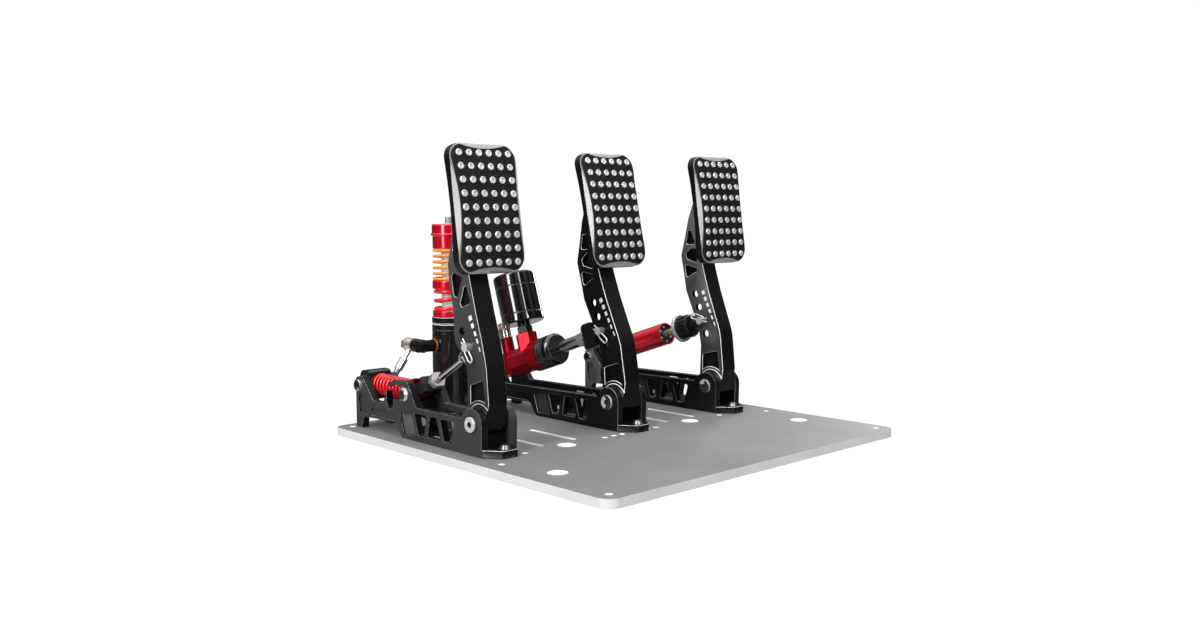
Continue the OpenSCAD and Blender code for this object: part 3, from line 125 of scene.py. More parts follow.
# Materials
class Maker:
    """Builds one node tree round the Principled BSDF."""

    def __init__(self, name):
        self.mat = bpy.data.materials.new(name)
        self.mat.use_nodes = True
        self.tree = self.mat.node_tree
        self.bsdf = self.tree.nodes["Principled BSDF"]
        self.coord = self.tree.nodes.new("ShaderNodeTexCoord").outputs["Object"]

    def set(self, **values):
        """Sets the shader's own sockets, named with underscores for spaces."""
        for key, value in values.items():
            self.bsdf.inputs[key.replace("_", " ")].default_value = value

    def link(self, a, b):
        self.tree.links.new(a, b)

    def mapped(self, scale):
        node = self.tree.nodes.new("ShaderNodeMapping")
        node.inputs["Scale"].default_value = scale
        self.link(self.coord, node.inputs["Vector"])
        return node.outputs["Vector"]

    def noise(self, scale, detail, rough=0.55, stretch=None):
        node = self.tree.nodes.new("ShaderNodeTexNoise")
        node.inputs["Scale"].default_value = scale
        node.inputs["Detail"].default_value = detail
        node.inputs["Roughness"].default_value = rough
        self.link(self.mapped(stretch) if stretch else self.coord, node.inputs["Vector"])
        return node.outputs["Fac"]

    def ramp(self, fac, a, b, low=0.35, high=0.65):
        node = self.tree.nodes.new("ShaderNodeValToRGB")
        for stop, position, color in zip(node.color_ramp.elements, (low, high), (a, b)):
            stop.position = position
            stop.color = (*color, 1)
        self.link(fac, node.inputs["Fac"])
        return node.outputs["Color"]

    def span(self, fac, low, high, a=0.3, b=0.7):
        """Maps a to b onto low to high."""
        node = self.tree.nodes.new("ShaderNodeMapRange")
        for socket, value in (("From Min", a), ("From Max", b), ("To Min", low), ("To Max", high)):
            node.inputs[socket].default_value = value
        self.link(fac, node.inputs["Value"])
        return node.outputs["Result"]

    def math(self, operation, a, b):
        node = self.tree.nodes.new("ShaderNodeMath")
        node.operation = operation
        self.link(a, node.inputs[0])
        self.link(b, node.inputs[1])
        return node.outputs["Value"]

    def bump(self, height, strength, distance):
        node = self.tree.nodes.new("ShaderNodeBump")
        node.inputs["Strength"].default_value = strength
        node.inputs["Distance"].default_value = distance
        self.link(height, node.inputs["Height"])
        self.link(node.outputs["Normal"], self.bsdf.inputs["Normal"])


def shade(color, share):
    return tuple(min(1.0, v * share) for v in color)


COAT_ROUGH = 0.1
GRAIN_DEPTH = 0.00003  # metres
ROUGH_SPREAD = 0.2  # the grain's share of the roughness, up and down


def finish(
    name, color, rough, metallic=0.0, specular=0.5, coat=0.0, grain=2600.0, vary=0.12,
    bump=0.15, stretch=None, broad=22.0, rise=None,
):
    """One finish: colour that varies broadly, and fine grain in the roughness and the bump. rise gives two
    heights in metres and the share of the colour that is left at the lower one: a painted shade that darkens
    the colour lower down."""
    m = Maker(name)
    m.set(Metallic=metallic, Specular_IOR_Level=specular, Coat_Weight=coat, Coat_Roughness=COAT_ROUGH)
    cloud = m.noise(broad, 4.0)
    if rise:
        low, high, left = rise
        split = m.tree.nodes.new("ShaderNodeSeparateXYZ")
        m.link(m.coord, split.inputs[0])
        climb = m.math("ADD", m.span(split.outputs["Z"], 0, 1, low, high), m.span(cloud, -vary, vary))
        tint = m.ramp(climb, shade(color, left), color, 0, 1)
    else:
        tint = m.ramp(cloud, shade(color, 1 - vary), shade(color, 1 + vary))
    m.link(tint, m.bsdf.inputs["Base Color"])
    fine = m.noise(grain, 2.0, 0.6, stretch)
    m.link(m.span(fine, rough * (1 - ROUGH_SPREAD), rough * (1 + ROUGH_SPREAD)), m.bsdf.inputs["Roughness"])
    m.bump(fine, bump, GRAIN_DEPTH)
    return m.mat


def braided(name, color):
    """A braided cover: two crossed sets of fine waves raise the strands."""
    m = Maker(name)
    m.set(Metallic=0.6)
    waves = []
    for direction in (1, -1):
        node = m.tree.nodes.new("ShaderNodeTexWave")
        node.wave_type = "BANDS"
        node.bands_direction = "DIAGONAL"
        node.inputs["Scale"].default_value = 160.0
        node.inputs["Distortion"].default_value = 0.6
        m.link(m.mapped((direction, 1, 1)), node.inputs["Vector"])
        waves.append(node.outputs["Fac"])
    weave = m.math("MAXIMUM", *waves)
    m.link(m.ramp(weave, shade(color, 0.45), color, 0.2, 0.9), m.bsdf.inputs["Base Color"])
    m.link(m.span(weave, 0.5, 0.28), m.bsdf.inputs["Roughness"])
    m.bump(weave, 0.8, 0.0002)
    return m.mat


# Directions in which the grain is drawn out
BRUSH_X, BRUSH_Y, BRUSH_Z = (0.03, 1, 1), (1, 0.05, 1), (1, 1, 0.04)
MILLED = dict(grain=1500.0, stretch=BRUSH_Y)
DRAWN = dict(grain=1500.0, stretch=BRUSH_Z)

MATS = {
    "plate_steel": finish("plate", (0.165, 0.166, 0.168), 0.6, specular=0.08, grain=1500.0,
                          stretch=BRUSH_X, bump=0.3, vary=0.1, broad=6.0),
    "black_anodised": finish("black_anodised", (0.0045, 0.0045, 0.005), 0.32, specular=0.2, grain=1800.0,
                             stretch=BRUSH_Z, vary=0.25),
    # on the clutch's left rail, grey_anodised's lighter grey is a painted reflection of the key light on black
    # anodising
    "grey_anodised": finish("grey_anodised", (0.032, 0.032, 0.033), 0.4, specular=0.3, bump=0.22,
                            vary=0.16, broad=14.0, **MILLED),
    "grip_black": finish("grip_black", (0.007, 0.007, 0.0075), 0.6, specular=0.2, grain=1500.0, bump=0.8),
    "bright_alloy": finish("bright_alloy", (0.9, 0.9, 0.91), 0.2, metallic=0.6, vary=0.06),
    "zinc_steel": finish("zinc_steel", (0.7, 0.665, 0.65), 0.2, metallic=0.8, vary=0.1),
    "black_oxide": finish("black_oxide", (0.014, 0.014, 0.015), 0.3, specular=0.45, vary=0.25),
    "red_anodised": finish("red_anodised", (0.72, 0.006, 0.03), 0.24, metallic=0.72, vary=0.2, bump=0.05,
                           **DRAWN),
    "dark_red_anodised": finish("dark_red_anodised", (0.22, 0.004, 0.012), 0.3, metallic=0.8),
    "spring_red": finish("spring_red", (0.68, 0.008, 0.012), 0.3, coat=0.5, vary=0.06),
    "spring_orange": finish("spring_orange", (0.88, 0.28, 0.015), 0.32, coat=0.4, vary=0.06),
    "reservoir_black": finish("reservoir_black", (0.004, 0.004, 0.0045), 0.1, specular=0.5, coat=0.6,
                              bump=0.04, vary=0.2),
    "knob_black": finish("knob_black", (0.009, 0.009, 0.01), 0.38, specular=0.4, vary=0.2),
    "chrome_plated": finish("chrome_plated", (0.85, 0.85, 0.87), 0.07, metallic=0.85, vary=0.03, bump=0.03),
    "copper_washer": finish("copper_washer", (0.82, 0.26, 0.03), 0.3, metallic=0.75, vary=0.15),
    "post_white": finish("post_white", (0.62, 0.62, 0.6), 0.35, vary=0.05),
    "hose_cover": braided("hose_cover", (0.42, 0.42, 0.44)),
}

# Finishes for some faces, edges and small pieces
EDGE = finish("machined_edge", (0.93, 0.93, 0.93), 0.3, metallic=0.15, vary=0.04, bump=0.08)
DIM_EDGE = finish("dim_edge", (0.07, 0.07, 0.072), 0.3, metallic=0.3, vary=0.2)
# Painted highlight: a lighter grey on the rails' broken edges, standing for the light that catches them
HIGHLIGHT_EDGE = finish("painted_highlight_edge", (0.24, 0.24, 0.245), 0.32, metallic=0.5, vary=0.35, broad=60.0)
PLATE_SIDE = finish("plate_side", (0.72, 0.72, 0.73), 0.4, metallic=0.2, grain=900.0, stretch=(1, 1, 0.05),
                    vary=0.05)
RIM = finish("pad_rim", (0.36, 0.36, 0.37), 0.42, metallic=0.3, vary=0.08, bump=0.1)
REAR_GREY = finish("rear_grey", (0.1, 0.1, 0.1), 0.4, specular=0.3, bump=0.2, **MILLED)
# Painted light: the clutch's and throttle's arms get a lighter grey on their left faces, the side that faces the
# key light, with painted shade that darkens it lower down
LIT_ARM_SIDE = {
    "clutch": finish("clutch_lit_side", (0.07, 0.07, 0.071), 0.4, rise=(0.07, 0.2, 0.35), specular=0.3,
                     bump=0.22, vary=0.3, broad=12.0, **DRAWN),
    "throttle": finish("throttle_lit_side", (0.17, 0.167, 0.165), 0.42, rise=(0.08, 0.22, 0.2), specular=0.3,
                       bump=0.22, vary=0.4, broad=20.0, **DRAWN),
}
SOCKET = finish("socket_shadow", (0.02, 0.018, 0.017), 0.5, specular=0.3)
# Facets of the milled crosses: the lighter one goes on the clutch's left rail, as part of its painted reflection
LIT_FACET = finish("milled_facet", (0.075, 0.075, 0.077), 0.32, specular=0.4, **MILLED)
FACET_DARK = finish("milled_facet_dark", (0.02, 0.02, 0.021), 0.32, specular=0.5)
MARK = finish("scale_mark", (0.78, 0.76, 0.75), 0.4, vary=0.06)

# Finishes for whole nodes, in place of their slot's
POLISHED = finish("polished_rod", (0.7, 0.7, 0.71), 0.12, metallic=1.0, vary=0.05, bump=0.05)
GLOSS = finish("gloss_black", (0.005, 0.005, 0.0055), 0.14, specular=0.5, coat=0.4, bump=0.05, vary=0.2)
RED_BRIGHT = finish("red_anodised_bright", (0.8, 0.008, 0.035), 0.2, metallic=0.6, coat=0.8, vary=0.12,
                    bump=0.04, **DRAWN)
RED_DEEP = finish("red_anodised_deep", (0.34, 0.002, 0.01), 0.3, metallic=0.65, specular=0.3, vary=0.2,
                  bump=0.05, **DRAWN)
DARK_STEEL = finish("dark_steel", (0.2, 0.195, 0.19), 0.34, metallic=0.85, vary=0.2)
NODES_OF = (
    (DARK_STEEL, ("foot_screws",)),
    (RED_DEEP, ("master_cylinder",)),
    (RED_BRIGHT, ("top_cap", "middle_ring", "slave_piston", "damper_tube")),
    (POLISHED, ("brake_pushrod", "clutch_pushrod")),
    (GLOSS, ("slave_cylinder", "slave_collar", "master_end_cap", "brake_rod_end", "spring_cup",
             "damper_ends")),
)
FINISH_OF = {node: material for material, nodes in NODES_OF for node in nodes}

slot_of = {s["node"]: s["material_slot"] for s in frame["record"]["subparts"]}
for node, obj in frame["nodes"].items():
    obj.material_slots[0].material = MATS[slot_of[node]]
body_of = {n: b for b, ns in frame["record"]["behaviour"]["bodies"].items() for n in ns}
joints = {j["name"]: j for j in frame["joints"]}


# Frames of the linkages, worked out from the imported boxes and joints
MIDDLES = {}


def middle(node):
    """The middle of a node's box at rest, in metres."""
    if node not in MIDDLES:
        lo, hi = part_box(node)
        MIDDLES[node] = (lo + hi) / 2
    return MIDDLES[node].copy()


def slide(v):
    return Matrix.Translation(Vector(v) * MM)


def turn(degrees, axis):
    return Matrix.Rotation(math.radians(degrees), 4, axis)


def module_x(pedal):
    return middle(pedal + "_arm").x / MM


pivot = middle("pivot_bolts") / MM
anchor = middle("anchor_screws") / MM


def arm_frame(pedal):
    return slide((module_x(pedal), pivot.y, pivot.z)) @ turn(-LEAN[pedal], "X")


def pad_frame(pedal):
    return arm_frame(pedal) @ slide((0, *FACE_AT)) @ turn(-FACE_LEAN, "X")


def strut_frame(pedal, joint):
    """The rear anchor, with Z along the strut towards the arm's pin."""
    z = -Vector(joints[joint]["axis"]).normalized()
    x = Vector((1, 0, 0))
    y = z.cross(x)
    turned = Matrix((x, y, z)).transposed().to_4x4()
    return slide((module_x(pedal), anchor.y, anchor.z)) @ turned


BRAKE_STRUT = strut_frame("brake", "brake_rod_slide")
DAMPER_STRUT = strut_frame("throttle", "damper_rod_slide")
SLAVE_FOOT = slide((SLAVE_X, SLAVE_Y, PLATE_T))


# Meshes
def add_piece(name, bm, materials, body, replaces=(), sharp=30):
    mesh = bpy.data.meshes.new(name)
    bmesh.ops.recalc_face_normals(bm, faces=bm.faces)
    bm.to_mesh(mesh)
    bm.free()
    for material in materials:
        mesh.materials.append(material)
    mesh.polygons.foreach_set("use_smooth", [True] * len(mesh.polygons))
    mesh.set_sharp_from_angle(angle=math.radians(sharp))
    obj = bpy.data.objects.new(name, mesh)
    bpy.context.scene.collection.objects.link(obj)
    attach(obj, body)
    if replaces:
        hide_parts(*replaces)
    return obj


def flat_first(obj):
    """Large flat faces keep their own normals, and the narrow ones beside them do the blending."""
    mod = obj.modifiers.new("normals", "WEIGHTED_NORMAL")
    mod.mode = "FACE_AREA"
    mod.weight = 100
    mod.keep_sharp = True


def welded(node, flat=None):
    """A CAD node's mesh with its double corners joined, and faces that meet at under flat degrees merged."""
    bm = bmesh.new()
    bm.from_mesh(frame["nodes"][node].data)
    bmesh.ops.remove_doubles(bm, verts=bm.verts, dist=WELD)
    if flat:
        bmesh.ops.dissolve_limit(bm, angle_limit=math.radians(flat), verts=bm.verts, edges=bm.edges)
    return bm


def loose_parts(bm):
    """Lists of the corners of each part of a mesh that hangs together."""
    todo = dict.fromkeys(bm.verts)
    parts = []
    while todo:
        part = [todo.popitem()[0]]
        for v in part:
            for e in v.link_edges:
                w = e.other_vert(v)
                if w in todo:
                    del todo[w]
                    part.append(w)
        parts.append(part)
    return parts


def x_span(verts):
    """How far corners spread along x, in metres."""
    xs = [v.co.x for v in verts]
    return max(xs) - min(xs)


def crisp(e):
    return len(e.link_faces) == 2 and e.calc_face_angle(0) > math.radians(CRISP_DEGREES)


def chamfer(bm, edges, offset, segments, index):
    """Breaks edges. The new faces get the material at index, or with -1 that of their neighbours."""
    if edges:
        bmesh.ops.bevel(
            bm, geom=edges, offset=offset * MM, offset_type="OFFSET", segments=segments,
            profile=0.5, affect="EDGES", clamp_overlap=True, material=index,
        )


def dressed(
    node, bright=None, bright_width=0.5, soft_width=0.2, edge=EDGE, paint=(), flat=FLAT_DEGREES, sharp=40,
    cuts=(), shift=None,
):
    """A copy of a CAD node with broken edges. bright() names the edges that get a machined chamfer, and
    paint lists pairs of a face test and a material. cuts splits faces along planes, and shift() may move
    the corners of painted faces."""
    bm = welded(node, flat)
    for point, normal in cuts:
        everything = bm.verts[:] + bm.edges[:] + bm.faces[:]
        bmesh.ops.bisect_plane(bm, geom=everything, plane_co=point, plane_no=normal)
    bm.normal_update()
    materials = [FINISH_OF.get(node, MATS[slot_of[node]]), edge]
    for face in bm.faces:
        face.material_index = 0
    for test, material in paint:
        materials.append(material)
        for face in bm.faces:
            if test(face):
                face.material_index = len(materials) - 1
    if shift:
        for v in {v for f in bm.faces if f.material_index for v in f.verts}:
            v.co = shift(v.co)
    if bright:
        chamfer(bm, [e for e in bm.edges if crisp(e) and bright(e)], bright_width, segments=1, index=1)
    if soft_width:
        near = {v for f in bm.faces if f.material_index == 1 for v in f.verts}
        rest = [e for e in bm.edges if crisp(e) and not near.intersection(e.verts)]
        chamfer(bm, rest, soft_width, segments=2, index=-1)
    flat_first(add_piece(node + "_dressed", bm, materials, body_of[node], (node,), sharp))


def prism(bm, outline, low, high, matrix, index=0):
    """A closed prism over an outline in (x, y), from z = low to high, placed by the matrix."""
    rings = [[bm.verts.new(matrix @ (Vector((x, y, z)) * MM)) for x, y in outline] for z in (low, high)]
    n = len(outline)
    faces = [bm.faces.new(rings[0][::-1]), bm.faces.new(rings[1])]
    for k in range(n):
        faces.append(bm.faces.new((rings[0][k], rings[0][(k + 1) % n], rings[1][(k + 1) % n], rings[1][k])))
    for face in faces:
        face.material_index = index


def circle(r, n):
    return [(r * math.cos(2 * math.pi * k / n), r * math.sin(2 * math.pi * k / n)) for k in range(n)]


def lathe(bm, profile, matrix, sides, radius=None):
    """A closed turned solid. The profile lists (r, z) from one end of the axis to the other, or ends where it
    starts. radius() may change a corner's radius with its number in the ring."""
    rings = []
    for r, z in profile:
        if r < ON_AXIS:
            rings.append([bm.verts.new(matrix @ (Vector((0, 0, z)) * MM))])
            continue
        ring = []
        for k in range(sides):
            a = 2 * math.pi * k / sides
            rr = radius(r, k) if radius else r
            ring.append(bm.verts.new(matrix @ (Vector((rr * math.cos(a), rr * math.sin(a), z)) * MM)))
        rings.append(ring)
    for a, b in zip(rings, rings[1:]):
        for k in range(sides):
            n = (k + 1) % sides
            quad = [a[k % len(a)], a[n % len(a)], b[n % len(b)], b[k % len(b)]]
            unique = list(dict.fromkeys(quad))
            if len(unique) > 2:
                bm.faces.new(unique)
    for ring in (rings[0], rings[-1]):
        if len(ring) > 1:
            bm.faces.new(ring)


def catmull(points, steps):
    """A smooth curve through the points, with this many steps between two of them."""
    out = []
    for i in range(len(points) - 1):
        p0, p1 = points[max(0, i - 1)], points[i]
        p2, p3 = points[i + 1], points[min(len(points) - 1, i + 2)]
        for s in range(steps):
            t = s / steps
            out.append(
                0.5 * (2 * p1 + (p2 - p0) * t + (2 * p0 - 5 * p1 + 4 * p2 - p3) * t * t
                       + (3 * p1 - p0 - 3 * p2 + p3) * t * t * t)
            )
    return out + [points[-1]]


def tube(bm, path, radius, sides):
    """A closed round tube along a path, in metres, whose rings don't twist. radius() gives a corner's radius,
    in metres, from its ring's number and its angle."""
    side = None
    rings = []
    for k, p in enumerate(path):
        t = (path[min(k + 1, len(path) - 1)] - path[max(k - 1, 0)]).normalized()
        if side is None:
            side = t.orthogonal().normalized()
        side = (side - t * side.dot(t)).normalized()
        up = t.cross(side)
        rings.append([
            bm.verts.new(p + radius(k, a) * (math.cos(a) * side + math.sin(a) * up))
            for a in (2 * math.pi * j / sides for j in range(sides))
        ])
    for a, b in zip(rings, rings[1:]):
        for j in range(sides):
            bm.faces.new((a[j], a[(j + 1) % sides], b[(j + 1) % sides], b[j]))
    bm.faces.new(rings[0][::-1])
    bm.faces.new(rings[-1])


# Tests of edges and faces
def on_planes(*levels):
    """Picks edges of the flat side faces at these x, in metres."""
    def test(e):
        return any(all(abs(v.co.x - x) < ON_PLANE for v in e.verts) for x in levels) and any(
            abs(f.normal.x) > FACING for f in e.link_faces
        )
    return test


def near_axis(y, z, r):
    """Picks faces within r of an axis along x, y and z in metres: the inside of a socket."""
    def test(f):
        c = f.calc_center_median()
        return math.hypot(c.y - y, c.z - z) < r * MM
    return test


def window_loops(node, level):
    """Closed outlines, in metres, of the openings in a flat side at this x, largest outline left out."""
    bm = welded(node)
    bm.normal_update()

    def borders(e):
        on_level = all(abs(v.co.x - level) < ON_PLANE for v in e.verts)
        return on_level and sum(abs(f.normal.x) > FACING for f in e.link_faces) == 1

    todo = dict.fromkeys(e for e in bm.edges if borders(e))
    loops = []
    while todo:
        first, v = todo.popitem()[0].verts
        loop = [first.co.copy()]
        while v is not first:
            loop.append(v.co.copy())
            onward = [n for n in v.link_edges if n in todo]
            if not onward:
                break
            del todo[onward[0]]
            v = onward[0].other_vert(v)
        loops.append(loop)
    bm.free()
    spans = [max(c.z for c in loop) - min(c.z for c in loop) for loop in loops]
    return [loop for loop, span in zip(loops, spans) if span < max(spans)]


HOLE_SPAN = 11  # an opening that spans less than this in y and z is a round hole
HOLE_CLEAR = 6  # edges that start this near a hole's centre belong to it


def round_holes(node, level):
    """Centres (y, z), in metres, of the round holes in a flat side at this x."""
    out = []
    for loop in window_loops(node, level):
        ys, zs = [c.y for c in loop], [c.z for c in loop]
        if max(zs) - min(zs) < HOLE_SPAN * MM and max(ys) - min(ys) < HOLE_SPAN * MM:
            out.append(((max(ys) + min(ys)) / 2, (max(zs) + min(zs)) / 2))
    return out


# Arms: bright edges, but not round the small holes, and painted light on the clutch's and
# throttle's left faces
def arm_levels(pedal):
    """The x of an arm's left and right faces, in metres."""
    return [(module_x(pedal) + sign * ARM_W / 2) * MM for _, sign in SIDES]


def dress_arm(pedal):
    arm = pedal + "_arm"
    levels = arm_levels(pedal)
    on_sides = on_planes(*levels)
    holes = round_holes(arm, levels[0])

    def bright(e):
        at = e.verts[0].co
        return on_sides(e) and not any(math.hypot(at.y - y, at.z - z) < HOLE_CLEAR * MM for y, z in holes)

    def left_face(f):
        return f.normal.x < -FACING and abs(f.calc_center_median().x - levels[0]) < NEAR_FACE

    # the left face gets the painted light, lighter towards the top
    paint = [(left_face, LIT_ARM_SIDE[pedal])] if pedal in LIT_ARM_SIDE else []
    dressed(arm, bright, bright_width=1.0, paint=paint)


# Rails. Two of them differ: the clutch's left one is grey with black walls, where the grey is a painted
# reflection of the key light on its black anodising, and the throttle's left one has a lighter rear end
THIN_WALL, DEEP_WALL = 2.1, 5  # walls of the grey rail between these depths stay grey
REAR_END = 20  # how far ahead of the rear anchor the lighter end starts
LOOKS_LEFT = -0.9  # the most that the normal of a face on the rail's left side may have along x


# The clutch's left rail carries the painted reflection: a lighter grey for the key light's reflection on its black
# faces
def is_lit_grey(pedal, side):
    return pedal == "clutch" and side == "left"


def black_wall(f):
    return abs(f.normal.x) < WALL and not THIN_WALL * MM <= x_span(f.verts) <= DEEP_WALL * MM


def dress_rail(pedal, side):
    rail = f"{pedal}_{side}_rail"
    lo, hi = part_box(rail)
    # the rails' edges get the painted highlight grey, and the clutch's left rail gets bright machined edges
    # instead
    edge, paint, cuts = HIGHLIGHT_EDGE, [], []
    if is_lit_grey(pedal, side):
        edge = EDGE
        paint = [(black_wall, MATS["black_anodised"])]
    if pedal == "throttle" and side == "left":
        y = (anchor.y - REAR_END) * MM
        cuts = [(Vector((0, y, 0)), Vector((0, 1, 0)))]
        paint = [(lambda f: f.normal.x < LOOKS_LEFT and f.calc_center_median().y > y, REAR_GREY)]
    dressed(rail, on_planes(lo.x, hi.x), bright_width=0.35, edge=edge, paint=paint, cuts=cuts)


for pedal in PEDALS:
    dress_arm(pedal)
    for side, _ in SIDES:
        dress_rail(pedal, side)

# The arms' windows are blind: a web closes each near its wall's inner face
WEB_DEPTHS = (3.9, 3.1)
WEB_GROWTH = 1.02  # the web's edge runs a little into the arm
WINDOW_R = 6.5  # an opening whose corners stay within this of its centre is a hole and gets no web

for pedal in PEDALS:
    arm = pedal + "_arm"
    bm = bmesh.new()
    for level, (_, sign) in zip(arm_levels(pedal), SIDES):
        for loop in window_loops(arm, level):
            centre = sum(loop, Vector()) / len(loop)
            if max((c - centre).length for c in loop) < WINDOW_R * MM:
                continue
            rings = []
            for depth in WEB_DEPTHS:
                x = level - sign * depth * MM
                rings.append([bm.verts.new((x, *(centre + (c - centre) * WEB_GROWTH).yz)) for c in loop])
            bm.faces.new(rings[0][::-1])
            bm.faces.new(rings[1])
            for k in range(len(loop)):
                n = (k + 1) % len(loop)
                bm.faces.new((rings[0][k], rings[0][n], rings[1][n], rings[1][k]))
    add_piece(arm + "_webs", bm, [MATS["black_anodised"]], pedal + "_pedal")

# Milled crosses in the rails' outer faces: four facets that rise to a low point. Corners are (y, z above
# the plate), and depths are below the rail's face
CROSS = ((105, 24), (98.5, 4), (78.2, 4.5), (85, 25))
CROSS_Y, CROSS_Z = 91.7, 14.4
CROSS_SHARE = 0.98125  # the facets start just inside the corners
BASE_DEPTH, FACET_DEPTH, POINT_DEPTH = 1.85, 1.65, 0.35


def add_cross(pedal, side, sign):
    rail = f"{pedal}_{side}_rail"
    lo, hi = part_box(rail)
    face = (lo.x if sign < 0 else hi.x) / MM
    bm = bmesh.new()

    def corner(depth, y, z):
        return bm.verts.new(Vector((face - sign * depth, y, z + PLATE_T)) * MM)

    base = [corner(BASE_DEPTH, y, z) for y, z in CROSS]
    ring = [
        corner(FACET_DEPTH, CROSS_Y + (y - CROSS_Y) * CROSS_SHARE, CROSS_Z + (z - CROSS_Z) * CROSS_SHARE)
        for y, z in CROSS
    ]
    apex = corner(POINT_DEPTH, CROSS_Y, CROSS_Z)
    bm.faces.new(base)
    for k in range(4):
        n = (k + 1) % 4
        bm.faces.new((base[k], base[n], ring[n], ring[k]))
        bm.faces.new((ring[k], ring[n], apex))
    facet = LIT_FACET if is_lit_grey(pedal, side) else FACET_DARK
    add_piece(rail + "_cross", bm, [facet], "base", sharp=5)


for pedal in PEDALS:
    for side, sign in SIDES:
        add_cross(pedal, side, sign)

# Plate, with bright sides and hole walls. The tests are in metres
plate_low, plate_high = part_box("base_plate")
CORNER_X, CORNER_Y = 0.185, 0.183  # past these, faces may be a part of a rounded corner
SIDE_RIM, CORNER_RIM, CORNER_AREA = 1e-3, 0.006, 2e-5


def plate_side(f):
    c = f.calc_center_median()
    rim = min(c.x - plate_low.x, plate_high.x - c.x, c.y - plate_low.y, plate_high.y - c.y)
    at_corner = abs(c.x) > CORNER_X and abs(c.y) > CORNER_Y
    rounded = at_corner and rim < CORNER_RIM and f.calc_area() > CORNER_AREA
    return abs(f.normal.z) < WALL and (rim < SIDE_RIM or rounded)


def hole_wall(f):
    return abs(f.normal.z) < WALL and not plate_side(f)


def hole_rim(e):
    at_top = all(v.co.z > plate_high.z - NEAR_FACE for v in e.verts)
    return at_top and any(hole_wall(f) for f in e.link_faces)


dressed("base_plate", hole_rim, bright_width=0.45, soft_width=0.4, edge=SOCKET,
        paint=[(plate_side, PLATE_SIDE), (hole_wall, EDGE)])

# Feet and screws
foot_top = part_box("module_feet")[1].z
NOSE_Y = -20  # the feet's noses lie ahead of this
SOCKET_R = {"foot_screws": 2.1, "pivot_bolts": 3.0, "anchor_screws": 3.0, "slot_bolt": 3.0}
foot_screws = [(module_x(pedal), y) for pedal in PEDALS for y in FOOT_SCREW_Y]


def nose_edge(e):
    at_top = all(v.co.z > foot_top - NEAR_FACE for v in e.verts)
    return at_top and min(v.co.y for v in e.verts) < NOSE_Y * MM


def foot_socket(f):
    c = f.calc_center_median() / MM
    return any(math.hypot(c.x - x, c.y - y) < SOCKET_R["foot_screws"] for x, y in foot_screws)


dressed("module_feet", nose_edge)
dressed("foot_screws", soft_width=0.25, paint=[(foot_socket, SOCKET)])
for node in ("pivot_bolts", "anchor_screws", "slot_bolt"):
    at = middle(node)
    dressed(node, soft_width=0.35, paint=[(near_axis(at.y, at.z, SOCKET_R[node]), SOCKET)])

# Dark seals round the pivot bolts' heads, just off the rails
SEAL = [(8.4, 0), (8.4, 0.5), (7.6, 0.7), (7.3, 0.5), (7.3, 0), (8.4, 0)]
SEAL_GAP = 0.1
bm = bmesh.new()
for pedal in PEDALS:
    for _, sign in SIDES:
        at = (module_x(pedal) + sign * (MODULE_W / 2 + SEAL_GAP), pivot.y, pivot.z)
        lathe(bm, SEAL, slide(at) @ turn(90 * sign, "Y"), sides=56)
add_piece("pivot_seals", bm, [SOCKET], "base", sharp=40)

# Pads: the rim and the crescents above and below the grip are lighter
PAD_SKIN = 1.5  # the grip's depth in the pad
LOOKS_FORWARD = -0.5  # the most that the normal of a face of the rim may have along the pad's y
RIM_DEPTH = 12  # and such a face lies less deep than this
CRESCENT_FROM = 0.2  # corners this far behind the grip's skin are a crescent's rear edge
CRESCENT_SHARE = 0.5  # the share of the crescents' depth that is left
CURVE_FLAT = 0.02  # degrees, so that the curved faces keep their facets
STUD = [
    (0, -0.8), (3, -0.8), (3, 0.35), (2.9, 0.6), (2.7, 0.76), (2.45, 0.8), (2.1, 0.74), (1.5, 0.64),
    (0.8, 0.58), (0, 0.56),
]


def dress_pad(pedal, place):
    inverse = place.inverted()
    turned = inverse.to_3x3()

    def front(f):
        depth = (inverse @ f.calc_center_median()).y
        return (turned @ f.normal).y < LOOKS_FORWARD and depth < RIM_DEPTH * MM

    def shallower(co):
        """Brings the rear edge of the crescents forward, which leaves more of the black side."""
        p = inverse @ co
        skin = (PAD_SKIN + PAD_CURVE_R - math.sqrt(PAD_CURVE_R**2 - (p.z / MM) ** 2)) * MM
        if p.y > skin + CRESCENT_FROM * MM:
            p.y = skin + CRESCENT_SHARE * (p.y - skin)
        return place @ p

    dressed(pedal + "_pad", soft_width=0, paint=[(front, RIM)], flat=CURVE_FLAT, sharp=22, shift=shallower)
    dressed(pedal + "_pad_bracket", soft_width=0.5)
    dressed(pedal + "_grip", soft_width=0.35, flat=CURVE_FLAT)


def turn_studs(pedal, place):
    """Turned heads where the CAD studs are, square to the pad's curve."""
    node = pedal + "_studs"
    inverse = place.inverted()
    source = welded(node)
    bm = bmesh.new()
    for part in loose_parts(source):
        lo = Vector([min(v.co[k] for v in part) for k in range(3)])
        hi = Vector([max(v.co[k] for v in part) for k in range(3)])
        local = inverse @ ((lo + hi) / 2)
        tilt = math.asin(local.z / MM / PAD_CURVE_R)
        upright = Matrix.Rotation(math.pi / 2 - tilt, 4, "X")
        lathe(bm, STUD, place @ Matrix.Translation(local) @ upright, sides=28)
    source.free()
    add_piece(node + "_turned", bm, [MATS["bright_alloy"]], body_of[node], (node,), sharp=50)


for pedal in PEDALS:
    dress_pad(pedal, pad_frame(pedal))
    turn_studs(pedal, pad_frame(pedal))

